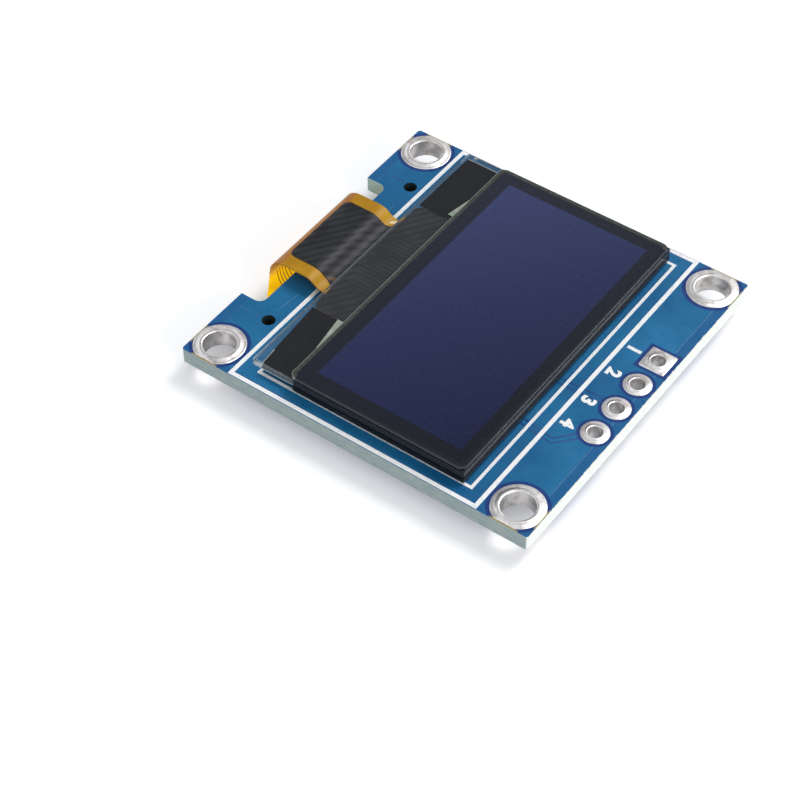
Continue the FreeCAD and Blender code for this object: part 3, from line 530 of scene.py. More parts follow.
# Painted sheen: the film is painted lighter towards its far side, as if it caught a broad light there.
painted_sheen_gradient = add(tree, "ShaderNodeVectorMath", {0: place, 1: (-0.016, -0.022, 0.0)}, operation="DOT_PRODUCT")
grain = add(tree, "ShaderNodeTexNoise", {"Vector": place, "Scale": 3.2, "Detail": 2.0})
mottle = add(tree, "ShaderNodeMath", {0: grain, 1: 0.10}, operation="MULTIPLY")
shades = add(tree, "ShaderNodeMath", {0: painted_sheen_gradient.outputs["Value"], 1: weave_share}, operation="ADD")
shade_sum = add(tree, "ShaderNodeMath", {0: shades, 1: mottle}, operation="ADD")
shade = add(tree, "ShaderNodeMapRange", {"Value": shade_sum, "From Min": -0.28, "From Max": 0.38})
navy = add(tree, "ShaderNodeValToRGB", {0: shade}, stops=[(0.0, "171D3E"), (0.45, "282F53"), (1.0, "3E456C")])
charcoal = add(tree, "ShaderNodeValToRGB", {0: shade}, stops=[(0.0, "161822"), (1.0, "282B38")])
inner = add(tree, "ShaderNodeMix", {0: in_field, 6: charcoal, 7: navy}, data_type="RGBA")
on_rim = add(tree, "ShaderNodeMapRange", {"Value": inwards, "From Min": RIM, "From Max": RIM - 0.08})
olive = add(tree, "ShaderNodeValToRGB", {0: grain}, stops=[(0.3, "3A3E38"), (0.7, "4B4F47")])
at_notch = add(tree, "ShaderNodeMath", {0: spot.outputs["Y"], 1: RIM_TURN_Y}, operation="LESS_THAN")
at_left = add(tree, "ShaderNodeMath", {0: spot.outputs["X"], 1: RIM_TURN_X}, operation="LESS_THAN")
clear_rim = add(tree, "ShaderNodeMath", {0: at_notch, 1: at_left}, operation="MAXIMUM")
rim_colour = add(tree, "ShaderNodeMix", {0: clear_rim, 6: "1E2029", 7: olive}, data_type="RGBA")
rimmed = add(tree, "ShaderNodeMix", {0: on_rim, 6: inner, 7: rim_colour}, data_type="RGBA")
# The cut edge is a fine line, pale on the notch side as a painted highlight.
on_line = add(tree, "ShaderNodeMapRange", {"Value": inwards, "From Min": RIM_LINE, "From Max": RIM_LINE / 2})
edge_line_and_glint = add(tree, "ShaderNodeMix", {0: at_notch, 6: "3C4045", 7: "8F9698"}, data_type="RGBA")
film_colour = add(tree, "ShaderNodeMix", {0: on_line, 6: rimmed, 7: edge_line_and_glint}, data_type="RGBA")

# %% The film's gloss, and the film
satin = add(tree, "ShaderNodeMapRange", {"Value": grain, "From Min": 0.3, "From Max": 0.7, "To Min": 0.22, "To Max": 0.28})
bump = add(tree, "ShaderNodeBump", {"Height": grain, "Strength": 0.1, "Distance": 0.01 * MM})
set_shader(tree, shader, {"Base Color": film_colour, "Roughness": satin, "Normal": bump, "Specular IOR Level": 0.3})
film_outline = rounded(film_low, film_high, FILM_CORNER)
film = keep(plate("top_film", film_outline, film_low[2] - HAIR, film_high[2], 0.03), "top_film", film_finish)
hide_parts("polarizer")

# %% [markdown]
# ## Under the clear ledge
# Two black films lie under the ledge, left and right of the flex. Beside the pixel field a
# bead of pale green resin has been pressed out between the plates.

# %% The black films and the resin
shield_finish, tree, shader, place = start_finish("black light-stop film")
tone = add(tree, "ShaderNodeTexNoise", {"Vector": place, "Scale": 0.8, "Detail": 4.0})
black = add(tree, "ShaderNodeValToRGB", {0: tone}, stops=[(0.3, "0C0C10"), (0.7, "17171C")])
bump = add(tree, "ShaderNodeBump", {"Height": tone, "Strength": 0.2, "Distance": 0.03 * MM})
set_shader(tree, shader, {"Base Color": black, "Roughness": 0.5, "Normal": bump, "Specular IOR Level": 0.1})
dress(shield_finish, "ledge_shield_left", "ledge_shield_right")

bead_finish, tree, shader, place = start_finish("pale cured sealant")
tone = add(tree, "ShaderNodeTexNoise", {"Vector": place, "Scale": 1.3, "Detail": 4.0})
pale = add(tree, "ShaderNodeValToRGB", {0: tone}, stops=[(0.3, "8E9E8A"), (0.7, "C6CDBE")])
bump = add(tree, "ShaderNodeBump", {"Height": tone, "Strength": 0.5, "Distance": 0.05 * MM})
set_shader(tree, shader, {"Base Color": pale, "Roughness": 0.35, "Normal": bump})
dress(bead_finish, "sealant_bead_left", "sealant_bead_right")

# %% [markdown]
# The films' printed margins and the resin that has crept along the glass are only a few
# micrometres thick, so they are made here. Each is a flat sheet with its own outline that
# just enters the glass from below.

# %% The margins and the slivers
MARGIN_LOW = 2.962
MARGIN_HIGH = 2.968
MARGINS = {
    "near": [(6.06, -8.38), (12.10, -7.97), (12.10, -5.45), (11.6, -5.45), (11.6, -7.9), (6.06, -7.9)],
    "far": [(-6.06, -8.42), (-6.06, -7.9), (-11.6, -7.9), (-11.6, -5.45), (-12.02, -5.45), (-12.02, -8.42)],
}
for side, outline in MARGINS.items():
    keep(plate("film_margin_" + side, outline, MARGIN_LOW, MARGIN_HIGH), "film_margin_" + side, shield_finish)

SLIVER_HIGH = 2.970
SLIVERS = {
    "near": [(6.0, -6.34), (7.8, -6.09), (8.9, -5.93), (8.9, -5.45), (6.0, -5.45)],
    "far": [(-6.5, -6.28), (-6.5, -5.45), (-8.6, -5.45), (-8.6, -5.88), (-7.4, -6.12)],
}
for side, outline in SLIVERS.items():
    keep(plate("resin_sliver_" + side, outline, MARGIN_LOW, SLIVER_HIGH), "resin_sliver_" + side, bead_finish)

# %% [markdown]
# ## The flex
# The flex is polyimide film, a clear amber plastic with copper inside. The inside of the
# tail is painted a brighter yellow and given a painted glow, standing for light that comes
# through it. Round the bend it is painted browner as shade where the film turns down, and
# paler at its outermost line. Where the neck meets the glass, pale streaks on the far side
# are a painted highlight, and on the near side a nick in the coverlay shows amber painted
# dark brown as shade.

# %% The polyimide
amber_finish, tree, shader, place = start_finish("amber polyimide film")
spot = add(tree, "ShaderNodeSeparateXYZ", {0: place})
# Painted shade: round the bend the amber is painted browner where the film turns down, and paler at its outermost line.
BEND_REACH = -13.3
BEND_START = -12.1
bend = add(tree, "ShaderNodeMapRange", {"Value": spot.outputs["Y"], "From Min": BEND_REACH, "From Max": BEND_START})
upper = add(tree, "ShaderNodeValToRGB", {0: bend}, stops=[(0.0, "E2AE68"), (0.3, "B97F3B"), (0.62, "B37731"), (0.9, "BE8B24"), (1.0, "BA8C22")])
# Painted light: low down, the tail is painted a brighter yellow, and its inner face gets a painted glow.
FOLD_MIDDLE = 2.29
is_low = add(tree, "ShaderNodeMapRange", {"Value": spot.outputs["Z"], "From Min": FOLD_MIDDLE + 0.1, "From Max": FOLD_MIDDLE - 0.5})
amber = add(tree, "ShaderNodeMix", {0: is_low, 6: upper, 7: "F7C414"}, data_type="RGBA")
# Painted highlight: pale streaks on the far shoulder, where the neck meets the glass.
glint_place = add(tree, "ShaderNodeMapping", {"Vector": place, "Location": (-4.0, -8.95, 3.2), "Rotation": (0.0, 0.0, math.radians(143)), "Scale": (0.62, 0.2, 1.0)}, vector_type="TEXTURE")
glint_way = add(tree, "ShaderNodeVectorMath", {0: glint_place}, operation="LENGTH")
tone = add(tree, "ShaderNodeTexNoise", {"Vector": place, "Scale": 0.9, "Detail": 3.0})
flecks = add(tree, "ShaderNodeTexNoise", {"Vector": place, "Scale": 5.0, "Detail": 3.0})
fleck_way = add(tree, "ShaderNodeMath", {0: glint_way.outputs["Value"], 1: flecks}, operation="ADD")
painted_glint = add(tree, "ShaderNodeMapRange", {"Value": fleck_way, "From Min": 1.3, "From Max": 1.1})
with_glint = add(tree, "ShaderNodeMix", {0: painted_glint, 6: amber, 7: "EBDFB4"}, data_type="RGBA")
depth_tone = add(tree, "ShaderNodeValToRGB", {0: tone}, stops=[(0.3, "E6DDCC"), (0.7, "FFFFFF")])
film_amber = add(tree, "ShaderNodeMix", {0: 1.0, 6: with_glint, 7: depth_tone}, data_type="RGBA", blend_type="MULTIPLY")
bump = add(tree, "ShaderNodeBump", {"Height": tone, "Strength": 0.2, "Distance": 0.04 * MM})
facing = add(tree, "ShaderNodeTexCoord", {})
inner_side = add(tree, "ShaderNodeVectorMath", {0: facing.outputs["Normal"], 1: (0.0, 1.0, 1.0)}, operation="DOT_PRODUCT")
inside = add(tree, "ShaderNodeMapRange", {"Value": inner_side.outputs["Value"], "From Min": 0.1, "From Max": 0.5})
low_inside = add(tree, "ShaderNodeMath", {0: is_low, 1: inside}, operation="MULTIPLY")
painted_glow = add(tree, "ShaderNodeMapRange", {"Value": low_inside, "To Min": 0.02, "To Max": 0.70})
set_shader(tree, shader, {
    "Base Color": film_amber, "Roughness": 0.36, "Normal": bump, "Specular IOR Level": 0.18,
    "Emission Color": film_amber, "Emission Strength": painted_glow,
})
dress(amber_finish, "flex_circuit")

# %% [markdown]
# A satin black coverlay protects the flex. The copper lines press through it as shallow
# slanting ridges, about half a millimetre apart, and over the driver chip, under the glass,
# as a patch of short bars. The solid is cut into fine strips and its free upper side is
# sunk between the ridges. Under the glass the coverlay is bonded flat, so there only the
# painted shade shows the bars. Each point keeps how far it is sunk, and the finish reads
# that to paint the sunk places darker and the ridges lighter, as painted shade and light.

# %% The coverlay's ridges
RIDGE_PITCH = 0.55
RIDGE_TURN = math.radians(34)
BAR_PITCH = 0.36
RIDGE_HEIGHT = 0.010
BOND_END = -8.6
STRIPS = ((0, 0.08), (1, 0.12))


def ease(value, low, high):
    """Goes softly from 0 at the low value to 1 at the high one."""
    share = min(max((value - low) / (high - low), 0.0), 1.0)
    return share * share * (3 - 2 * share)


def sunk_at(x, y):
    """How far the coverlay is sunk at a place in millimetres: 0 on a ridge, 1 between two."""
    wander = 0.7 * noise.noise(Vector((x, y, 0.0)) * 0.5)
    across = (x * math.sin(RIDGE_TURN) + y * math.cos(RIDGE_TURN)) / RIDGE_PITCH
    ridge = 0.5 + 0.5 * math.sin(2 * math.pi * across + wander)
    bar = 0.5 + 0.5 * math.sin(2 * math.pi * x / BAR_PITCH + wander)
    in_patch = ease(math.hypot((x - 0.2) / 3.2, (y + 6.75) / 1.35), 1.15, 0.9)
    return 1.0 - ease(ridge + (bar - ridge) * in_patch, 0.1, 0.6)


shell = bmesh.new()
shell.from_mesh(solids["flex_coverlay"].data)
bmesh.ops.remove_doubles(shell, verts=shell.verts, dist=0.0005 * MM)
cover_low, cover_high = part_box("flex_coverlay")
for axis, width in STRIPS:
    way = Vector([float(axis == 0), float(axis == 1), 0.0])
    for index in range(1, int((cover_high[axis] - cover_low[axis]) / (width * MM)) + 1):
        parts = shell.verts[:] + shell.edges[:] + shell.faces[:]
        bmesh.ops.bisect_plane(shell, geom=parts, plane_co=Vector(cover_low) + way * (index * width * MM), plane_no=way)
upper = [face for face in shell.faces if face.normal.z > 0.5]
for face in upper:
    face.smooth = True
for point in {corner for face in upper for corner in face.verts}:
    x, y = point.co.x / MM, point.co.y / MM
    point.co.z -= RIDGE_HEIGHT * MM * sunk_at(x, y) * ease(y, BOND_END + 0.15, BOND_END - 0.15)
cover_mesh = bpy.data.meshes.new("ridged_coverlay")
shell.to_mesh(cover_mesh)
shell.free()
sunk = cover_mesh.attributes.new("sunk", "FLOAT", "POINT")
sunk.data.foreach_set("value", [sunk_at(point.co.x / MM, point.co.y / MM) for point in cover_mesh.vertices])
print("coverlay cut into", len(cover_mesh.polygons), "faces")

# %% The coverlay
coverlay_finish, tree, shader, place = start_finish("satin black coverlay")
depth = add(tree, "ShaderNodeAttribute", {}, attribute_name="sunk")
tone = add(tree, "ShaderNodeTexNoise", {"Vector": place, "Scale": 0.7, "Detail": 4.0})
# Painted shade and light: the sunk places are painted darker and the ridges lighter.
ridge_share = add(tree, "ShaderNodeMath", {0: depth.outputs["Fac"], 1: -0.35}, operation="MULTIPLY")
ridge_lit_groove_shaded = add(tree, "ShaderNodeMath", {0: ridge_share, 1: 0.35}, operation="ADD")
mixed = add(tree, "ShaderNodeMath", {0: ridge_lit_groove_shaded, 1: tone}, operation="ADD")
black = add(tree, "ShaderNodeValToRGB", {0: mixed}, stops=[(0.4, "0E0F12"), (0.65, "191A1E"), (0.95, "2A2B31")])
# A nick in the coverlay near the neck's root shows the amber, painted dark brown as shade.
shaded_nick = add(tree, "ShaderNodeMapping", {"Vector": place, "Location": (2.98, -9.08, 3.2), "Rotation": (0.0, 0.0, math.radians(127)), "Scale": (0.45, 0.15, 1.0)}, vector_type="TEXTURE")
shaded_nick_way = add(tree, "ShaderNodeVectorMath", {0: shaded_nick}, operation="LENGTH")
in_shaded_nick = add(tree, "ShaderNodeMapRange", {"Value": shaded_nick_way.outputs["Value"], "From Min": 1.1, "From Max": 0.8})
with_shaded_nick = add(tree, "ShaderNodeMix", {0: in_shaded_nick, 6: black, 7: "54361D"}, data_type="RGBA")
bump = add(tree, "ShaderNodeBump", {"Height": tone, "Strength": 0.5, "Distance": 0.04 * MM})
set_shader(tree, shader, {"Base Color": with_shaded_nick, "Roughness": 0.45, "Normal": bump, "Specular IOR Level": 0.28})
coverlay = keep(cover_mesh, "ridged_coverlay", coverlay_finish)
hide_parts("flex_coverlay")

# %% The driver chip
chip_finish, tree, shader, place = start_finish("bare polished silicon")
tone = add(tree, "ShaderNodeTexNoise", {"Vector": place, "Scale": 1.5, "Detail": 2.0})
grey = add(tree, "ShaderNodeValToRGB", {0: tone}, stops=[(0.3, "3A3C42"), (0.7, "4A4C54")])
bump = add(tree, "ShaderNodeBump", {"Height": tone, "Strength": 0.1, "Distance": 0.01 * MM})
set_shader(tree, shader, {"Base Color": grey, "Roughness": 0.18, "Metallic": 0.4, "Normal": bump})
dress(chip_finish, "driver_chip")

# %% [markdown]
# ## Rings and pads with a skin of solder
# Molten tin stands up round each bore as a rounded lip, thins out towards the rim and never
# lies quite flat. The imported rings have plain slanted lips, so each one is turned anew from
# a rounded profile, and a slow noise lifts and sinks its faces by a few hundredths of a
# millimetre. Where a ring would reach past the board's edge it is cut back, as its own box
# says, and the first pad is square.

# %% Turn a plated ring
from mathutils import noise

TURN_STEPS = 64
LIP_STEPS = 6
LUMP = 0.012
BOARD_LOW, BOARD_HIGH = [[value / MM for value in corner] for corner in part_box("circuit_board")]


def upper_profile(bore, lip, ring):
    """Radius and height above the board of the rounded upper half, from the bore to the rim."""
    points = [(bore, 0.03)]
    for step in range(LIP_STEPS + 1):
        angle = math.pi * (1 - step / LIP_STEPS)
        points.append((bore + lip / 2 * (1 + math.cos(angle)), 0.052 + 0.05 * math.sin(angle)))
    return points + [(ring - 0.10, 0.056), (ring - 0.03, 0.046), (ring, 0.022), (ring, 0.0)]


def plated_ring(node, middle, bore, lip, ring, square=False):
    """Turns one ring about an upright line, lets its faces lie unevenly and cuts it to its box."""
    low, high = [[value / MM for value in corner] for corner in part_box(node)]
    upper = upper_profile(bore, lip, ring)
    section = [(r, BOARD_HIGH[2] + h) for r, h in upper] + [(r, BOARD_LOW[2] - h) for r, h in reversed(upper)]
    shell = bmesh.new()
    rows = []
    for turn in range(TURN_STEPS):
        angle = 2 * math.pi * turn / TURN_STEPS
        way = Vector((math.cos(angle), math.sin(angle)))
        stretch = min(1 / max(abs(way.x), abs(way.y)), 1.38) if square else 1.0
        row = []
        for r, z in section:
            reach = r if r <= bore + lip else bore + lip + (r - bore - lip) * (ring * stretch - bore - lip) / (ring - bore - lip)
            x, y = middle[0] + reach * way.x, middle[1] + reach * way.y
            if r > bore and abs(z - (BOARD_HIGH[2] + BOARD_LOW[2]) / 2) > (BOARD_HIGH[2] - BOARD_LOW[2]) / 2 + 0.03:
                z += LUMP * noise.noise((x * 1.2, y * 1.2, z))
            place = [min(max(value, low[axis]), high[axis]) for axis, value in enumerate((x, y, z))]
            row.append(shell.verts.new(Vector(place) * MM))
        rows.append(row)
    for turn in range(TURN_STEPS):
        here, there = rows[turn], rows[(turn + 1) % TURN_STEPS]
        for step in range(len(section)):
            following = (step + 1) % len(section)
            shell.faces.new((here[step], there[step], there[following], here[following]))
    bmesh.ops.recalc_face_normals(shell, faces=shell.faces)
    mesh = bpy.data.meshes.new(node)
    shell.to_mesh(mesh)
    shell.free()
    for face in mesh.polygons:
        face.use_smooth = True
    piece = keep(mesh, "tinned_" + node, tin_finish)
    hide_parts(node)


# %% All the rings and pads
RING_SIGNS = ((-1, 1), (1, 1), (-1, -1), (1, -1))
for number, (side_x_sign, side_y_sign) in enumerate(RING_SIGNS):
    spot_of_ring = (side_x_sign * RING_SPOT[0], side_y_sign * RING_SPOT[1])
    plated_ring(f"mounting_ring_{number + 1}", spot_of_ring, bore=1.15, lip=0.28, ring=1.8)
for number in range(4):
    spot_of_pad = ((number - 1.5) * PAD_PITCH, PAD_LINE)
    plated_ring(f"header_pad_{number + 1}", spot_of_pad, bore=0.5, lip=0.14, ring=0.975, square=(number == 0))

# %% [markdown]
# ## The parts on the back
# The capacitors are fired brown ceramic, the resistors white alumina with a black glaze on
# the side away from the board, and the regulator and the diode are moulded in black epoxy
# with a fine matt texture. A resistor's glaze is told from its alumina by the way that the
# face looks.

# %% Ceramic, glazed alumina and moulded epoxy
ceramic_finish, tree, shader, place = start_finish("fired brown ceramic")
tone = add(tree, "ShaderNodeTexNoise", {"Vector": place, "Scale": 4.0, "Detail": 5.0})
brown = add(tree, "ShaderNodeValToRGB", {0: tone}, stops=[(0.3, "7E6146"), (0.7, "A5835F")])
bump = add(tree, "ShaderNodeBump", {"Height": tone, "Strength": 0.4, "Distance": 0.03 * MM})
set_shader(tree, shader, {"Base Color": brown, "Roughness": 0.5, "Normal": bump})
capacitors = [name for name in solids if "capacitor" in name and not name.endswith("_ends")]
dress(ceramic_finish, *capacitors)

glaze_finish, tree, shader, place = start_finish("black glaze on white alumina")
facing = add(tree, "ShaderNodeTexCoord", {})
lean = add(tree, "ShaderNodeSeparateXYZ", {0: facing.outputs["Normal"]})
glazed = add(tree, "ShaderNodeMath", {0: lean.outputs["Z"], 1: -0.5}, operation="LESS_THAN")
tone = add(tree, "ShaderNodeTexNoise", {"Vector": place, "Scale": 5.0, "Detail": 4.0})
chalk = add(tree, "ShaderNodeValToRGB", {0: tone}, stops=[(0.3, "C9C7C0"), (0.7, "E6E4DF")])
glaze = add(tree, "ShaderNodeValToRGB", {0: tone}, stops=[(0.3, "121212"), (0.7, "212122")])
colour = add(tree, "ShaderNodeMix", {0: glazed, 6: chalk, 7: glaze}, data_type="RGBA")
gloss = add(tree, "ShaderNodeMix", {0: glazed, 2: 0.7, 3: 0.3})
bump = add(tree, "ShaderNodeBump", {"Height": tone, "Strength": 0.3, "Distance": 0.02 * MM})
set_shader(tree, shader, {"Base Color": colour, "Roughness": gloss, "Normal": bump})
resistors = [name for name in solids if "resistor" in name and not name.endswith("_ends")]
dress(glaze_finish, *resistors)

epoxy_finish, tree, shader, place = start_finish("moulded black epoxy")
pits = add(tree, "ShaderNodeTexNoise", {"Vector": place, "Scale": 9.0, "Detail": 4.0, "Roughness": 0.7})
black = add(tree, "ShaderNodeValToRGB", {0: pits}, stops=[(0.3, "141415"), (0.7, "28282A")])
bump = add(tree, "ShaderNodeBump", {"Height": pits, "Strength": 0.5, "Distance": 0.03 * MM})
set_shader(tree, shader, {"Base Color": black, "Roughness": 0.62, "Normal": bump})
dress(epoxy_finish, "regulator_body", "diode_body")

# %% [markdown]
# ## Lines that follow a route
# Copper traces show through the lacquer as pairs of thin dark lines, where the copper
# beside the trace is etched away. Geometry Nodes make them: a tree takes a route and lays
# a strip on each side of it. The same tree makes single lines, such as the pale outline
# under the ledge, where its two strips are half as wide and lie edge to edge.

# %% A Geometry Nodes tree that lays strips along a route
def new_tree(name, sizes):
    """Starts a Geometry Nodes tree with named sizes and a finish as its inputs."""
    tree = bpy.data.node_groups.new(name, "GeometryNodeTree")
    tree.interface.new_socket("Geometry", in_out="INPUT", socket_type="NodeSocketGeometry")
    for label, value in sizes.items():
        kind = "NodeSocketInt" if isinstance(value, int) else "NodeSocketFloat"
        tree.interface.new_socket(label, in_out="INPUT", socket_type=kind).default_value = value
    tree.interface.new_socket("Finish", in_out="INPUT", socket_type="NodeSocketMaterial")
    tree.interface.new_socket("Geometry", in_out="OUTPUT", socket_type="NodeSocketGeometry")
    return tree, add(tree, "NodeGroupInput", {})


def close_tree(tree, given, made):
    """Ends a tree with real geometry and its finish."""
    real = add(tree, "GeometryNodeRealizeInstances", {"Geometry": made})
    coated = add(tree, "GeometryNodeSetMaterial", {"Geometry": real, "Material": given.outputs["Finish"]})
    add(tree, "NodeGroupOutput", {"Geometry": coated})


strip_tree, given = new_tree("strips along a route", {"Strip width": 0.0001, "Strip spacing": 0.0, "Strip height": 0.00001})
route = add(strip_tree, "GeometryNodeMeshToCurve", {"Mesh": given.outputs["Geometry"]})
upright = add(strip_tree, "GeometryNodeSetCurveNormal", {"Curve": route}, mode="Z_UP")
strip = add(strip_tree, "GeometryNodeCurvePrimitiveQuadrilateral", {"Width": given.outputs["Strip width"], "Height": given.outputs["Strip height"]})
half = add(strip_tree, "ShaderNodeMath", {0: given.outputs["Strip spacing"], 1: 0.5}, operation="MULTIPLY")
minus = add(strip_tree, "ShaderNodeMath", {0: half, 1: -1.0}, operation="MULTIPLY")
right = add(strip_tree, "ShaderNodeCombineXYZ", {"X": half})
left = add(strip_tree, "ShaderNodeCombineXYZ", {"X": minus})
right_strip = add(strip_tree, "GeometryNodeTransform", {"Geometry": strip, "Translation": right})
left_strip = add(strip_tree, "GeometryNodeTransform", {"Geometry": strip, "Translation": left})
pair = add(strip_tree, "GeometryNodeJoinGeometry", {"Geometry": right_strip})
strip_tree.links.new(left_strip.outputs[0], pair.inputs[0])
laid = add(strip_tree, "GeometryNodeCurveToMesh", {"Curve": upright, "Profile Curve": pair, "Fill Caps": True})
close_tree(strip_tree, given, laid)


def routes_mesh(name, routes, closed=False):
    """A mesh of bare lines from routes of points in millimetres."""
    points, lines = [], []
    for route_points in routes:
        first = len(points)
        points += [tuple(value * MM for value in point) for point in route_points]
        last = len(points) - 1
        lines += [(i, i + 1) for i in range(first, last)]
        if closed:
            lines.append((last, first))
    mesh = bpy.data.meshes.new(name)
    mesh.from_pydata(points, lines, [])
    return mesh


def grow(name, tree, start, sizes, finish):
    """Runs a tree on a start mesh and keeps what it makes as a plain piece."""
    holder = bpy.data.objects.new(name + "_start", start)
    bpy.context.scene.collection.objects.link(holder)
    modifier = holder.modifiers.new("grow", "NODES")
    modifier.node_group = tree
    for item in tree.interface.items_tree:
        if item.in_out == "INPUT" and item.name in sizes:
            modifier[item.identifier] = sizes[item.name]
        if item.in_out == "INPUT" and item.name == "Finish":
            modifier[item.identifier] = finish
    bpy.context.view_layer.update()
    graph = bpy.context.evaluated_depsgraph_get()
    mesh = bpy.data.meshes.new_from_object(holder.evaluated_get(graph))
    holder.modifiers.remove(modifier)
    bpy.data.objects.remove(holder)
    return keep(mesh, name, finish)


# %% The traces in the lacquer
BOARD_TOP = 2.335
STRIP_HEIGHT = 0.012
dark_mask, tree, shader, place = start_finish("blue solder mask over bare epoxy")
tone = add(tree, "ShaderNodeTexNoise", {"Vector": place, "Scale": 1.4, "Detail": 3.0})
navy = add(tree, "ShaderNodeValToRGB", {0: tone}, stops=[(0.3, "1F4482"), (0.7, "28559A")])
bump = add(tree, "ShaderNodeBump", {"Height": tone, "Strength": 0.2, "Distance": 0.02 * MM})
set_shader(tree, shader, {"Base Color": navy, "Roughness": 0.32, "Normal": bump, "Specular IOR Level": 0.35})



def single_line(width, height):
    """The sizes with which the tree's two strips lie edge to edge and make one line."""
    return {"Strip width": width / 2 * MM, "Strip spacing": width / 2 * MM, "Strip height": height * MM}


trace_level = BOARD_TOP + STRIP_HEIGHT / 2
paired = [
    [(4.70, 11.64, trace_level), (5.97, 10.54, trace_level), (5.66, 8.11, trace_level)],
    [(1.20, 11.3, trace_level), (1.34, 8.1, trace_level)],
]
grow("paired_traces", strip_tree, routes_mesh("paired_routes", paired),
     {"Strip width": 0.13 * MM, "Strip spacing": 0.42 * MM, "Strip height": STRIP_HEIGHT * MM}, dark_mask)

# %% The copper's edges under the lacquer
# They show as faint lines, a little lighter than the lacquer beside them.
light_mask, tree, shader, place = start_finish("blue solder mask over a copper edge")
tone = add(tree, "ShaderNodeTexNoise", {"Vector": place, "Scale": 1.4, "Detail": 3.0})
sky = add(tree, "ShaderNodeValToRGB", {0: tone}, stops=[(0.3, "2C6A99"), (0.7, "4482AC")])
bump = add(tree, "ShaderNodeBump", {"Height": tone, "Strength": 0.2, "Distance": 0.02 * MM})
set_shader(tree, shader, {"Base Color": sky, "Roughness": 0.32, "Normal": bump, "Specular IOR Level": 0.35})
EDGE_LINE = 0.06
copper_edges = [
    [(5.08, 12.92, trace_level), (9.81, 12.92, trace_level)],
    [(-5.11, 12.92, trace_level), (-9.95, 12.92, trace_level)],
    [(6.93, -10.66, trace_level), (4.9, -10.46, trace_level)],
    [(-3.76, -10.61, trace_level), (-5.92, -10.39, trace_level)],
    [(8.13, -13.08, trace_level), (8.08, -11.33, trace_level)],
]
grow("copper_edges", strip_tree, routes_mesh("copper_edge_routes", copper_edges),
     single_line(EDGE_LINE, STRIP_HEIGHT), light_mask)
stub = [[(-8.27, -12.28, trace_level), (-8.26, -11.39, trace_level)]]
grow("trace_stub", strip_tree, routes_mesh("trace_stub_route", stub), single_line(0.09, STRIP_HEIGHT), dark_mask)

# %% [markdown]
# ## The pale outline under the ledge
# A fine pale line borders each black film under the clear ledge, along the panel's end.
# Along the ledge's end at positive x it is also a painted highlight for the glass's cut
# edge. It is a single strip that lies on the film, under the glass.

# %% The outline under the ledge
border_and_glint_finish, tree, shader, place = start_finish("pale border line")
tone = add(tree, "ShaderNodeTexNoise", {"Vector": place, "Scale": 2.0, "Detail": 3.0})
pale = add(tree, "ShaderNodeValToRGB", {0: tone}, stops=[(0.3, "8C938F"), (0.7, "B8BCAF")])
bump = add(tree, "ShaderNodeBump", {"Height": tone, "Strength": 0.3, "Distance": 0.01 * MM})
set_shader(tree, shader, {"Base Color": pale, "Roughness": 0.5, "Normal": bump})

LINE_LEVEL = 2.9685
border = [
    [(10.6, -8.04, LINE_LEVEL), (12.06, -7.94, LINE_LEVEL), (12.06, -5.45, LINE_LEVEL)],
    [(-11.98, -8.38, LINE_LEVEL), (-11.98, -5.6, LINE_LEVEL)],
]
grow("ledge_border", strip_tree, routes_mesh("ledge_border_routes", border),
     single_line(0.07, 0.006), border_and_glint_finish)

# %% [markdown]
# ## Plain numbers beside the header holes
# The band of printing beside the header holes holds the plain numbers 1 to 4. Each is a
# text curve with a little thickness, made a mesh before it is moved into its place.

# %% Print the numbers
NUMBER_SIZE = 1.35
NUMBER_HEIGHT = 0.02
NUMBER_LINE = 10.1
NUMBER_SPOTS = (-3.81, -1.27, 1.75, 4.15)

for index, x in enumerate(NUMBER_SPOTS):
    words = bpy.data.curves.new(f"number_{index + 1}", "FONT")
    words.body = str(index + 1)
    words.size = NUMBER_SIZE * MM
    words.align_x = "CENTER"
    words.extrude = NUMBER_HEIGHT / 2 * MM
    words.offset = 0.06 * MM
    words.resolution_u = 6
    holder = bpy.data.objects.new(f"number_{index + 1}_start", words)
    bpy.context.scene.collection.objects.link(holder)
    graph = bpy.context.evaluated_depsgraph_get()
    mesh = bpy.data.meshes.new_from_object(holder.evaluated_get(graph))
    bpy.data.objects.remove(holder)
    for corner in mesh.vertices:
        corner.co += Vector((x, NUMBER_LINE, BOARD_TOP + NUMBER_HEIGHT / 2)) * MM
    keep(mesh, f"number_{index + 1}", ink_finish)

# %% [markdown]
# ## Rough edges
# The board was broken out of a larger sheet, and a router cut its notch. Both leave small
# splinters of glass cloth. A second tree scatters them along a route: it sets points on the
# route, puts a small bent pebble on each and turns and stretches it at random. The seed is
# fixed, so the splinters are the same in each run.

# %% A tree that scatters splinters along a route
splinter_tree, given = new_tree("splinters along a route", {"Spacing": 0.0003, "Splinter size": 0.0001, "Spread": 0.0001, "Seed": 3})
route = add(splinter_tree, "GeometryNodeMeshToCurve", {"Mesh": given.outputs["Geometry"]})
spots = add(splinter_tree, "GeometryNodeCurveToPoints", {"Curve": route, "Length": given.outputs["Spacing"]}, mode="LENGTH")
minus = add(splinter_tree, "ShaderNodeMath", {0: given.outputs["Spread"], 1: -1.0}, operation="MULTIPLY")
low = add(splinter_tree, "ShaderNodeCombineXYZ", {"X": minus, "Y": minus, "Z": minus})
high = add(splinter_tree, "ShaderNodeCombineXYZ", {"X": given.outputs["Spread"], "Y": given.outputs["Spread"], "Z": given.outputs["Spread"]})
jitter = add(splinter_tree, "FunctionNodeRandomValue", {0: low, 1: high, "Seed": given.outputs["Seed"]}, data_type="FLOAT_VECTOR")
moved = add(splinter_tree, "GeometryNodeSetPosition", {"Geometry": spots.outputs["Points"], "Offset": jitter.outputs[0]})
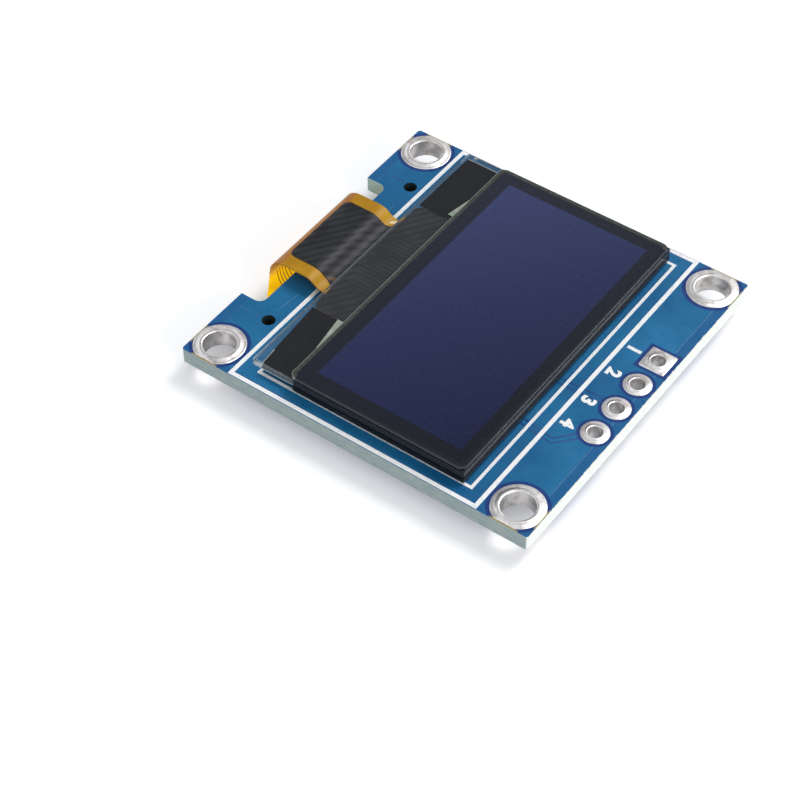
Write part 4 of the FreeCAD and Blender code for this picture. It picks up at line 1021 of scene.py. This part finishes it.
pebble = add(splinter_tree, "GeometryNodeMeshIcoSphere", {"Radius": given.outputs["Splinter size"], "Subdivisions": 1})
turn = add(splinter_tree, "FunctionNodeRandomValue", {1: (6.28, 6.28, 6.28), "Seed": 11}, data_type="FLOAT_VECTOR")
stretch = add(splinter_tree, "FunctionNodeRandomValue", {0: (0.3, 0.3, 0.2), 1: (1.5, 1.0, 0.7), "Seed": 17}, data_type="FLOAT_VECTOR")
set_on = add(splinter_tree, "GeometryNodeInstanceOnPoints", {"Points": moved, "Instance": pebble.outputs["Mesh"], "Rotation": turn.outputs[0], "Scale": stretch.outputs[0]})
close_tree(splinter_tree, given, set_on)

splinter_finish, tree, shader, place = start_finish("torn glass cloth")
tone = add(tree, "ShaderNodeTexNoise", {"Vector": place, "Scale": 2.5, "Detail": 4.0})
pale = add(tree, "ShaderNodeValToRGB", {0: tone}, stops=[(0.3, "B9C7B8"), (0.7, "EEF2EA")])
bump = add(tree, "ShaderNodeBump", {"Height": tone, "Strength": 0.5, "Distance": 0.04 * MM})
set_shader(tree, shader, {"Base Color": pale, "Roughness": 0.8, "Normal": bump})

sawn_edge = [[(x0, BOARD_HIGH[1] - 0.06, z), (x1, BOARD_HIGH[1] - 0.06, z)]
             for x0, x1 in ((-13.2, 13.2),) for z in (1.25, 1.5, 2.24)]
grow("sawn_edge_splinters", splinter_tree, routes_mesh("sawn_edge", sawn_edge),
     {"Spacing": 0.55 * MM, "Splinter size": 0.07 * MM, "Spread": 0.05 * MM, "Seed": 3}, splinter_finish)
notch_edge = [[(-7.1, -13.5, z), (-7.1, -12.3, z), (-6.9, -12.0, z), (-6.4, -11.93, z)] for z in (1.4, 1.8, 2.15)]
notch_edge += [[(7.1, -13.5, z), (7.1, -12.3, z), (6.9, -12.0, z), (6.4, -11.93, z)] for z in (1.4, 1.8, 2.15)]
grow("notch_splinters", splinter_tree, routes_mesh("notch_edge", notch_edge),
     {"Spacing": 0.4 * MM, "Splinter size": 0.07 * MM, "Spread": 0.05 * MM, "Seed": 5}, splinter_finish)

# %% [markdown]
# ## The torn edge of the tape
# Foam tape is cut with a soft knife and its edge is ragged. A third tree follows the
# outline of the tape, moves the line in and out by noise and gives it a section.

# %% A tree that makes a ragged rim
rim_tree, given = new_tree("ragged rim along a route", {"Rim width": 0.0002, "Rim height": 0.0001, "Raggedness": 0.0001, "Grain": 1500.0})
route = add(rim_tree, "GeometryNodeMeshToCurve", {"Mesh": given.outputs["Geometry"]})
fine = add(rim_tree, "GeometryNodeResampleCurve", {"Curve": route, "Length": 0.00012}, mode="LENGTH")
here = add(rim_tree, "GeometryNodeInputPosition", {})
ragged = add(rim_tree, "ShaderNodeTexNoise", {"Vector": here, "Scale": given.outputs["Grain"], "Detail": 3.0})
centred = add(rim_tree, "ShaderNodeVectorMath", {0: ragged.outputs["Color"], 1: (0.5, 0.5, 0.5)}, operation="SUBTRACT")
flat = add(rim_tree, "ShaderNodeVectorMath", {0: centred, 1: (1.0, 1.0, 0.0)}, operation="MULTIPLY")
sway = add(rim_tree, "ShaderNodeVectorMath", {0: flat, "Scale": given.outputs["Raggedness"]}, operation="SCALE")
torn = add(rim_tree, "GeometryNodeSetPosition", {"Geometry": fine, "Offset": sway})
upright = add(rim_tree, "GeometryNodeSetCurveNormal", {"Curve": torn}, mode="Z_UP")
section = add(rim_tree, "GeometryNodeCurvePrimitiveQuadrilateral", {"Width": given.outputs["Rim width"], "Height": given.outputs["Rim height"]})
swept = add(rim_tree, "GeometryNodeCurveToMesh", {"Curve": upright, "Profile Curve": section})
close_tree(rim_tree, given, swept)

tape_low, tape_high = [[value / MM for value in corner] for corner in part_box("adhesive_tape")]
tape_middle = (tape_low[2] + tape_high[2]) / 2
tape_loop = [[(tape_low[0], tape_low[1], tape_middle), (tape_high[0], tape_low[1], tape_middle),
              (tape_high[0], tape_high[1], tape_middle), (tape_low[0], tape_high[1], tape_middle)]]
grow("torn_tape_rim", rim_tree, routes_mesh("tape_loop", tape_loop, closed=True),
     {"Rim width": 0.16 * MM, "Rim height": 0.13 * MM, "Raggedness": 0.10 * MM, "Grain": 900.0}, tape_finish)

# %% [markdown]
# ## Copper lines in the flex
# Inside the fold, beside the notch, a few copper lines show brown through the bright amber.
# They run round the fold's inner face and spread towards the tail, so each route is worked
# out from the fold's own round.

# %% The copper lines
copper_finish, tree, shader, place = start_finish("copper under polyimide")
tone = add(tree, "ShaderNodeTexNoise", {"Vector": place, "Scale": 1.5, "Detail": 2.0})
brown = add(tree, "ShaderNodeValToRGB", {0: tone}, stops=[(0.3, "A06C12"), (0.7, "BC861C")])
bump = add(tree, "ShaderNodeBump", {"Height": tone, "Strength": 0.2, "Distance": 0.01 * MM})
set_shader(tree, shader, {"Base Color": brown, "Roughness": 0.4, "Normal": bump})

FOLD_BACK = -12.15
INNER_R = 1.2
LINE_PITCH = 0.28
LINE_SPREAD = 0.47
FOLD_STEPS = 8


def fold_line(x):
    """A route round the lower half of the fold's inner face, spreading as it goes down."""
    route = []
    for step in range(FOLD_STEPS + 1):
        share = step / FOLD_STEPS
        angle = math.radians(195 + 75 * share)
        route.append((x + math.copysign(LINE_SPREAD * share, x), FOLD_BACK + INNER_R * math.cos(angle),
                      FOLD_MIDDLE + INNER_R * math.sin(angle)))
    return route


starts = [2.6 + LINE_PITCH * i for i in range(5)]
grow("flex_lines", strip_tree, routes_mesh("flex_line_routes", [fold_line(side * x) for side in (-1, 1) for x in starts]),
     single_line(0.07, 0.008), copper_finish)
